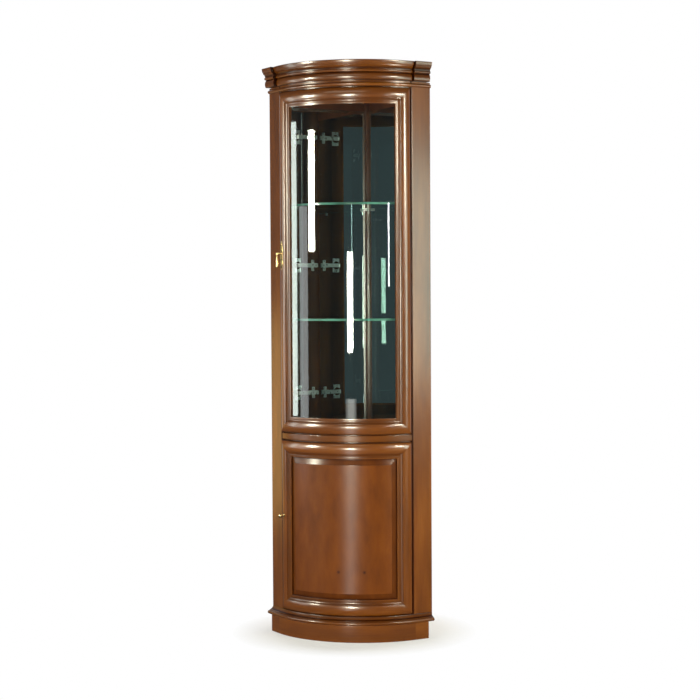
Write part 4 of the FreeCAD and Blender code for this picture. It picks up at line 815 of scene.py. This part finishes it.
def bowed_sheet(name, door, levels, body, nodes, finish, glaze_and_shade=()):
    """A bowed sheet from rings (distance in from the door's edge, projection)."""
    form = bmesh.new()
    grain_of = form.verts.layers.float_vector.new("grain")
    glaze_and_shade_of = form.verts.layers.float.new("glaze_and_shade")
    low, high = door
    levels = [(inset * MM, out * MM) for inset, out in levels]

    def corner(inset, out, i, j, dark=0.0):
        half = DOOR_HALF - inset / BOW
        angle = -half + 2 * half * i / WIDE
        height = low + inset + (high - low - 2 * inset) * j / TALL
        vert = form.verts.new(on_bow(BOW + out, angle, height))
        vert[grain_of] = (height, angle * BOW, out)
        vert[glaze_and_shade_of] = dark
        return vert

    edge = sheet_edge()
    rings = []
    for k, (inset, out) in enumerate(levels):
        dark = glaze_and_shade[k] if k < len(glaze_and_shade) else 0.0
        rings.append({at: corner(inset, out, *at, dark) for at in edge})
    for first, second in zip(rings, rings[1:]):
        for a, b in zip(edge, edge[1:] + edge[:1]):
            form.faces.new((first[a], first[b], second[b], second[a]))
    for ring, (inset, out) in ((rings[0], levels[0]), (rings[-1], levels[-1])):
        at = dict(ring)
        for i in range(1, WIDE):
            for j in range(1, TALL):
                at[i, j] = corner(inset, out, i, j)
        for i in range(WIDE):
            for j in range(TALL):
                form.faces.new((at[i, j], at[i + 1, j], at[i + 1, j + 1], at[i, j + 1]))
    return finish_piece(name, form, body, nodes, finish)


print("a ring has", len(sheet_edge()), "points")

# %% Raised panel
KNOT_HEIGHT, FIELD = 254 * MM, 6.4 * MM
knots = [(KNOT_HEIGHT, across * MM, FIELD) for across in (-4, 89)]
panel_wood = wood("cherry_panel", QUIET, knots=knots, streak=0.12, broad=26, run=10,
                  lacquer=0.6, haze=0.25)
panel_levels = [(51.4, -6.5), (51.4, -1.4), (51.7, -1.1), (59.6, -1.1), (60.6, -0.9),
                (64, 0.0), (68, 1.25), (72, 2.55), (76, 3.85), (79.2, 4.75),
                (79.8, 4.95), (80.0, 5.2), (80.0, 6.1), (80.25, 6.4), (80.7, 6.5),
                (84, 6.5)]
# Dark rings of the panel, partly glaze and partly painted shade: darkest in the groove by
# the frame and at the field's step, lighter over the bevel.
panel_glaze_and_shade = (0, 0, 1, 1, 0.8, 0.55, 0.42, 0.36, 0.36, 0.5, 0.8, 0.95, 0.6, 0.1, 0, 0)
bowed_sheet("panel", LOWER_DOOR, panel_levels, "cupboard_door", ["raised_panel"],
            panel_wood, panel_glaze_and_shade)
print("rings of the panel:", len(panel_levels))

# %% Door glass
bowed_sheet("bowed_glass", UPPER_DOOR, [(51.4, -5.1), (51.4, -1.4), (51.7, -1.1)],
            "display_door", ["door_glass"], pane)
print("panel and glass made; pieces so far:", len(made_pieces))

# %% [markdown]
# ## Mouldings and rails of the case
#
# The base moulding, the bead under the crown, the two rails and the plinth are each one
# section turned about the bow's axis, and the same section runs straight on along each
# return. A shop would turn the bow's part and plane the straight parts from the same
# drawing. That is done here too: one list of corners serves both, so they meet.


# %% Runs round the bow and along a return
def bow_run(name, corners, nodes, forward=0.0, shade=None, reach=None, ease=0.35,
            painted_shade=0.0):
    """A piece of the bow, from its section as (radius, height) in millimetres."""
    points = section(corners, ease)
    return run_moulding(
        name, points, reach or (lambda x, y: (-CASE_HALF, CASE_HALF)),
        lambda x, y, run: on_bow(x, run, y, forward), "carcass", nodes,
        case_glaze_and_shade(points, painted_shade) if shade is None else shade, steps=72, lengthwise=BOW)


def side_run(name, side, corners, start, end, nodes, shade=None, ease=0.35, painted_shade=0.0):
    """A straight piece along a return, from the same kind of section."""
    points = section(corners, ease)
    return run_moulding(
        name, points, lambda x, y: (start * MM, end * MM),
        lambda x, y, run: on_side(side, x, run, y), "carcass", nodes,
        case_glaze_and_shade(points, painted_shade) if shade is None else shade)


print("the case's bow is", round(2 * CASE_HALF * BOW, 3), "m long")

# %% Base moulding, frieze bead, rails and plinth
base =[(348.1, 62), (368, 62), (368, 74.8, 6.403, 1), (366, 74.8), (366, 76.8),
        (350, 91, 26, -1), (348.1, 91)]
bead = [(348.1, 2010.5), (348.7, 2010.5), (348.7, 2023.5, 6.507, 1), (348.1, 2023.5)]
rail = [(326, 726), (345, 726), (348, 729, 3.2, 1), (348, 747), (345, 750, 3.2, 1),
        (326, 750)]
over_door = [(326, 2009), (348, 2009), (348, 2030), (326, 2030)]
plinth = [(340, 0), (368, 0), (368, 62), (340, 62)]
# The base moulding gets an even painted shade, as it stands low by the floor.
bow_run("base_moulding_front", base, ["base_moulding_bow"], ease=0.25, painted_shade=0.3)
bow_run("frieze_bead_front", bead, ["frieze_bead_bow"], ease=0.15)
for side, word in SIDES:
    side_run(f"base_moulding_{word}_end", side, base, 0, 79, [f"base_moulding_{word}"],
             ease=0.25, painted_shade=0.3)
    side_run(f"frieze_bead_{word}_end", side, bead, 0, 85, [f"frieze_bead_{word}"],
             ease=0.15)
# The rail between the doors is darkened all over: painted shade, as it sits back between
# the doors.
bow_run("rail_between_doors", rail, ["mid_rail"], shade=0.3)
bow_run("rail_over_door", over_door, ["frieze_rail"], shade=0.0)
bow_run("plinth_bow", plinth, ["plinth_front"], shade=0.0, ease=1.0)
for side, word in SIDES:
    side_run(f"plinth_{word}_end", side, plinth, 0, 57.5, [f"plinth_{word}_return"],
             shade=0.0, ease=1.0)
print("case mouldings made; pieces so far:", len(made_pieces))

# %% [markdown]
# ## The crown
#
# The crown is bent a little tighter than the doors, so its own axis stands further
# forward, and it meets the returns' crowns in an open joint. It could share the doors'
# axis, but its front would then run flush into the returns' crowns. The real one
# swells in the middle and sits back at the joints.


# %% Crown
def crown_corners(edge):
    """The crown's section: fascia, hollow, bead, and a broad round at its foot."""
    return [(edge - 58, 2030), (edge - 16.5, 2030), (edge - 18, 2057, 23.9, 1),
            (edge - 18, 2058), (edge - 14.5, 2058), (edge - 14.5, 2068, 5.19, 1),
            (edge - 14, 2068), (edge - 5.5, 2080, 14, -1), (edge - 5.5, 2084),
            (edge - 4, 2084), (edge, 2098.5, 40, 1), (edge - 1.5, 2100),
            (edge - 58, 2100)]


CROWN_FORWARD = 47 * MM
JOINT = 2.12 * MM
# The crown gets an even painted shade over its glaze, which keeps the top darker.
CROWN_SHADE = 0.25


def crown_reach(x, y):
    """The bent crown's ends, a joint short of the plane where the return begins."""
    end = CASE_HALF + math.asin((CROWN_FORWARD - JOINT) / (math.sqrt(2) * x))
    return -end, end


bow_run("crown_front", crown_corners(345), ["crown_bow"], forward=CROWN_FORWARD,
        reach=crown_reach, painted_shade=CROWN_SHADE)
for side, word in SIDES:
    side_run(f"crown_{word}_end", side, crown_corners(388), 1.5, 69, [f"crown_{word}"],
             painted_shade=CROWN_SHADE)
print("crown made; pieces so far:", len(made_pieces))

# %% [markdown]
# ## Returns and shelves
#
# The returns are flat boards, rounded where they meet the doors, and the shelves are
# thick glass cut to the bow with a notch for the corner post. Both are outlines with a
# thickness. A Solidify modifier would give the same, but a bevel on every arris and a
# second finish on the shelves' green edges are easier to place in the mesh itself.


# %% Boards
def slab(name, outline, low, high, body, nodes, finish, ease,
         second_on_edges=False, painted_shade=lambda place: 0.0):
    """A plan outline (in metres) given a thickness, with eased edges."""
    form = bmesh.new()
    foot = [form.verts.new((x, y, low)) for x, y in outline]
    face = form.faces.new(foot)
    raised = bmesh.ops.extrude_face_region(form, geom=[face])["geom"]
    for vert in raised:
        if isinstance(vert, bmesh.types.BMVert):
            vert.co.z = high
    bmesh.ops.recalc_face_normals(form, faces=form.faces)
    arrises = [e for e in form.edges if e.calc_face_angle(0) > math.radians(30)]
    bmesh.ops.bevel(form, geom=arrises, offset=ease, segments=2, affect="EDGES",
                    profile=0.5)
    grain_of = form.verts.layers.float_vector.new("grain")
    glaze_and_shade_of = form.verts.layers.float.new("glaze_and_shade")
    shift = Vector((0.31, 0.17, 0.05)) * (len(made_pieces) + 1)
    for vert in form.verts:
        vert[grain_of] = vert.co.zxy + shift
        # Painted shade from the caller, as on the returns beside the doors.
        vert[glaze_and_shade_of] = painted_shade(vert.co)
    if second_on_edges:
        for face in form.faces:
            face.material_index = 1 if abs(face.normal.z) < 0.5 else 0
    return finish_piece(name, form, body, nodes, finish)


def plan_of(side, corners):
    """Corners (out, along) of one side, as points of the plan."""
    return [tuple(on_side(side, out * MM, along * MM, 0))[:2] for out, along in corners]


print("a return's outer back edge:", plan_of(1, [(348, 85)]))

# %% Returns
RETURN_FOOT, RETURN_HEAD = 91 * MM, 2030 * MM
# Painted shade on a return beside the doors: full up to the first distance, gone by the
# second.
SHADE_FULL, SHADE_GONE = 6 * MM, 9 * MM
rounding = [(p.x, p.y) for p in stretch((340, 0), (348, 8), 8, 1, 9)]


def door_side_shade(place):
    """Painted shade on a return's edge beside the doors, clear from a finger's width on.
    """
    along = (abs(place.x) + place.y - AXIS_Y) * math.sqrt(0.5)
    return min(max((SHADE_GONE - along) / (SHADE_GONE - SHADE_FULL), 0), 1)


for side, word in SIDES:
    corners = [(326, 0), (340, 0)] + rounding + [(348, 9.5), (348, 85), (326, 85)]
    slab(f"return_{word}", plan_of(side, corners), RETURN_FOOT, RETURN_HEAD, "carcass",
         [f"{word}_return"], cherry, 0.6 * MM, painted_shade=door_side_shade)
print("returns made; pieces so far:", len(made_pieces))

# %% Glass shelves
SHELF_FRONT, SHELF_REACH, POST_NOTCH, SHELF_THICK = 320, 63, 53, 8


def shelf_outline(front, reach, post):
    """Plan of a shelf: its bowed front, its back edges and the notch round the post."""
    bow = [tuple(on_bow(front * MM, math.radians(-45 + 1.5 * k), 0))[:2]
           for k in range(61)]
    right = [(front, reach), (-post, reach), (-post, post)]
    left = [(-post, reach), (front, reach)]
    return bow + plan_of(1, right) + plan_of(-1, left)


for word, height in (("lower", 1165), ("upper", 1587)):
    slab(f"glass_shelf_{word}", shelf_outline(SHELF_FRONT, SHELF_REACH, POST_NOTCH),
         height * MM, (height + SHELF_THICK) * MM, "carcass", [f"{word}_glass_shelf"],
         [shelf_glass, glass_edge], 0.5 * MM, second_on_edges=True)
print("shelves made; pieces so far:", len(made_pieces))

# %% [markdown]
# ## Knob and drop
#
# The brass is turned work. A lathe's result is a profile spun about an axis, so the
# knob and the drop are spun from smooth profiles. A Screw modifier spins a profile
# too; spinning it in the mesh lets one piece hold two turned parts, as the drop does
# with its stem and its eye.


# %% Turned brass
def bow_place(inset, radius, height):
    """The matrix of a fitting on the left stile, with its X pointing outwards."""
    angle = DOOR_HALF - inset / BOW
    out = Vector((-math.sin(angle), -math.cos(angle), 0))
    aside = Vector((math.cos(angle), -math.sin(angle), 0))
    turn = Matrix((out, aside, Vector((0, 0, 1)))).transposed().to_4x4()
    return Matrix.Translation(on_bow(radius, -angle, height)) @ turn


def spun(form, profile, axis, count=40):
    """Spins (distance along the axis, radius) points, in millimetres."""
    rows = []
    for along, radius in profile:
        row = []
        for k in range(count):
            turn = 2 * math.pi * k / count
            side = (max(radius, 0.02) * MM * math.cos(turn),
                    max(radius, 0.02) * MM * math.sin(turn))
            point = {0: (along * MM, *side), 1: (side[0], along * MM, side[1]),
                     2: (*side, along * MM)}[axis]
            row.append(form.verts.new(point))
        rows.append(row)
    for first, second in zip(rows, rows[1:]):
        for k in range(count):
            form.faces.new((first[k - 1], first[k], second[k], second[k - 1]))
    form.faces.new(rows[0])
    form.faces.new(rows[-1])
    return form


print("brass stands", round((STILE_CREST - BOW) / MM, 2), "mm in front of the bow")

# %% Knob
KNOB_INSET, KNOB_HEIGHT = 22 * MM, 444 * MM
knob_at = bow_place(KNOB_INSET, STILE_CREST, KNOB_HEIGHT)
rose_and_neck = [(0, 6.0), (0.3, 6.4), (1.2, 6.4), (1.8, 5.8), (3.0, 4.0), (4.6, 3.3),
                 (6.2, 3.4)]
ball = [(14 - 8 * math.cos(math.radians(a)), 8 * math.sin(math.radians(a)))
        for a in range(30, 181, 10)]
turned_knob = spun(bmesh.new(), rose_and_neck + ball, 0)
bmesh.ops.transform(turned_knob, matrix=knob_at, verts=turned_knob.verts)
finish_piece("knob_turned", turned_knob, "cupboard_door", ["knob"], brass, 50)
print("knob made at", [round(v, 3) for v in knob_at.translation])

# %% Drop
PULL_INSET, PULL_HEIGHT, PIN_OUT = 21 * MM, 1413 * MM, 20 * MM
drop_at = bow_place(PULL_INSET, STILE_CREST + PIN_OUT, PULL_HEIGHT)
drop_profile = [(-52, 0), (-51.8, 1.3), (-51.2, 2.6), (-50, 3.8), (-48.4, 4.6),
                (-46.6, 4.97), (-44.5, 4.85), (-41, 4.3), (-34, 3.3), (-26, 2.4),
                (-18, 1.9), (-13, 1.7), (-12, 1.9), (-11.2, 2.6), (-10.5, 3.15),
                (-9.8, 3.15), (-9.1, 2.6), (-8.4, 1.9), (-7, 1.6), (-3, 1.6)]
eye = [(-1.7, 1.5), (-2.0, 1.9), (-2.0, 2.9), (-1.6, 3.35), (1.6, 3.35), (2.0, 2.9),
       (2.0, 1.9), (1.7, 1.5)]
drop = spun(bmesh.new(), drop_profile, 2)
spun(drop, eye, 1)
bmesh.ops.transform(drop, matrix=drop_at, verts=drop.verts)
finish_piece("drop_turned", drop, "drop_handle", ["drop_handle"], brass, 50)
print("drop made; pieces so far:", len(made_pieces))

# %% [markdown]
# ## The pull's plate
#
# The plate behind the drop is sawn to a waisted outline with softened edges, and
# carries a round post and a fork for the pin. A cast one would be a single skin; here
# the plate, the post and the fork's two lugs are separate closed shells in one mesh,
# because that keeps each one's edges clean.


# %% Plate
def plate_outline():
    """The plate's waisted outline: points (across, up) from the drop's pin."""
    half, neck, end, waist = 7.5, 4, 10.5, 18.8
    tip, shoulder = 9.3, 11.3
    foot, head = -60, 46
    corners = [(0, foot, tip, 1), (neck, foot + end, tip, 1),
               (half, foot + waist, shoulder, -1), (half, head - waist),
               (neck, head - end, shoulder, -1), (0, head, tip, 1),
               (-neck, head - end, tip, 1), (-half, head - waist, shoulder, -1),
               (-half, foot + waist), (-neck, foot + end, shoulder, -1)]
    return section(corners, 0.2, 40)


PLATE_THICK, RIM = 1.6 * MM, 0.7 * MM
plate = bmesh.new()
back_face = plate.faces.new([plate.verts.new((0, y, z)) for y, z in plate_outline()])
for item in bmesh.ops.extrude_face_region(plate, geom=[back_face])["geom"]:
    if isinstance(item, bmesh.types.BMVert):
        item.co.x = PLATE_THICK
bmesh.ops.recalc_face_normals(plate, faces=plate.faces)
rim = [e for e in plate.edges
       if e.calc_face_angle(0) > 1 and min(v.co.x for v in e.verts) > MM]
bmesh.ops.bevel(plate, geom=rim, offset=RIM, segments=3, affect="EDGES", profile=0.6)
print("plate's outline has", len(plate_outline()), "points")

# %% Post and fork
LUG_SIZE, LUG_OUT, LUG_ASIDE, LUG_EASE = (8.3, 1.95, 6.6), 18.55, 3.2, 0.6
post = [(1.0, 5.2), (2.2, 5.2), (2.8, 4.5), (4, 4.1), (15.6, 4.1)]
spun(plate, post, 0)
for side in (-1, 1):
    lug = bmesh.ops.create_cube(plate, size=1)["verts"]
    shape = Matrix.Diagonal((*(length * MM for length in LUG_SIZE), 1))
    spot = Matrix.Translation((LUG_OUT * MM, side * LUG_ASIDE * MM, 0))
    bmesh.ops.transform(plate, matrix=spot @ shape, verts=lug)
    edges = {e for v in lug for e in v.link_edges}
    bmesh.ops.bevel(plate, geom=list(edges), offset=LUG_EASE * MM, segments=3,
                    affect="EDGES", profile=0.5)
plate_at = bow_place(PULL_INSET, STILE_CREST, PULL_HEIGHT)
bmesh.ops.transform(plate, matrix=plate_at, verts=plate.verts)
finish_piece("pull_back_plate", plate, "display_door", ["pull_plate"], brass,
             40)
print("fittings made; pieces so far:", len(made_pieces))

# %% [markdown]
# ## Hinge screws
#
# A concealed hinge is held by small pan-head screws: two through the plate's wings, two
# through the cup's flange, and two on the arm that move the door in and out. They could
# be dark dots in the steel's finish, but a head that stands proud also shows from the
# side. They are spun like the knob, with a pit for the driver.

# %% One screw
PAN_HEAD = [(0, 3.3), (0.7, 3.3), (1.3, 2.6), (1.5, 1.7), (1.4, 1.3), (0.5, 0.5)]


def screw(form, spot, inward):
    """A pan-head screw that stands on a surface and points inward."""
    already = set(form.verts)
    spun(form, PAN_HEAD, 0, 14)
    fresh = [vert for vert in form.verts if vert not in already]
    turn = inward.to_track_quat("X", "Z").to_matrix().to_4x4()
    bmesh.ops.transform(form, matrix=Matrix.Translation(spot) @ turn, verts=fresh)


print("a screw head stands", max(along for along, radius in PAN_HEAD), "mm proud")

# %% Screws of all the hinges
CUP_ANGLE = DOOR_HALF - 22.5 * MM / BOW
CUP_FACE, PLATE_FACE, ARM_FACE = 336.6 * MM, 323.5 * MM, 312.5 * MM
PLATE_MIDDLE = 38 * MM
hinge_heights = {"display": (863, 1379.5, 1896), "cupboard": (204, 613)}
off_return = Vector((-math.sqrt(0.5), math.sqrt(0.5), 0))
off_door = Vector((-math.sin(CUP_ANGLE), math.cos(CUP_ANGLE), 0))
for word, heights in hinge_heights.items():
    on_case, on_door = bmesh.new(), bmesh.new()
    for height in heights:
        for step in (-16, 16):
            screw(on_case, on_side(1, PLATE_FACE, PLATE_MIDDLE, (height + step) * MM),
                  off_return)
        for along in (31, 47):
            screw(on_case, on_side(1, ARM_FACE, along * MM, height * MM), off_return)
        for step in (-24, 24):
            screw(on_door, on_bow(CUP_FACE, CUP_ANGLE, (height + step) * MM), off_door)
    finish_piece(f"{word}_hinge_screws_case", on_case, "carcass", [], screw_steel,
                 40)
    finish_piece(f"{word}_hinge_screws_door", on_door, f"{word}_door", [], screw_steel,
                 40)
print("with the screws:", len(made_pieces))

# %% [markdown]
# ## Finishes of the plain solids
#
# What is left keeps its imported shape: flat boards inside, the backs, the blocks and
# the ironmongery. New pieces could replace these too, but nothing would be gained
# where the solid's shape is right. Each gets the finish of its kind, with its grain
# along its length. The back boards are stained on the inside only, as shops do.

# %% Dress the solids
dressing = {
    inside_upright: ["corner_post"],
    inside_level: ["display_deck", "cupboard_door_stops", "display_door_stops",
                   "cupboard_shelf", "top_board"],
    cherry_level: ["base_board", "glazing_beads"],
    back_board: ["left_back_panel", "right_back_panel"],
    raw_level: ["crown_glue_blocks", "plinth_left_back", "plinth_right_back"],
    silvering: ["left_mirror", "right_mirror"],
    brass: ["pull_pin"],
    nickel: ["cupboard_hinge_arms", "cupboard_hinge_cups", "cupboard_hinge_plates",
             "display_hinge_arms", "display_hinge_cups", "display_hinge_plates",
             "cupboard_strike_plate", "display_strike_plate", "shelf_pins"],
    plastic: ["cupboard_catch", "display_catch"],
}
dressed = []
for finish, names in dressing.items():
    for name in names:
        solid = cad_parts[name]
        solid.data.materials.clear()
        solid.data.materials.append(finish)
        dressed.append(name)
left_bare = [name for name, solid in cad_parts.items()
             if not solid.hide_render and name not in dressed]
print("solids dressed:", len(dressed), "left bare:", left_bare)
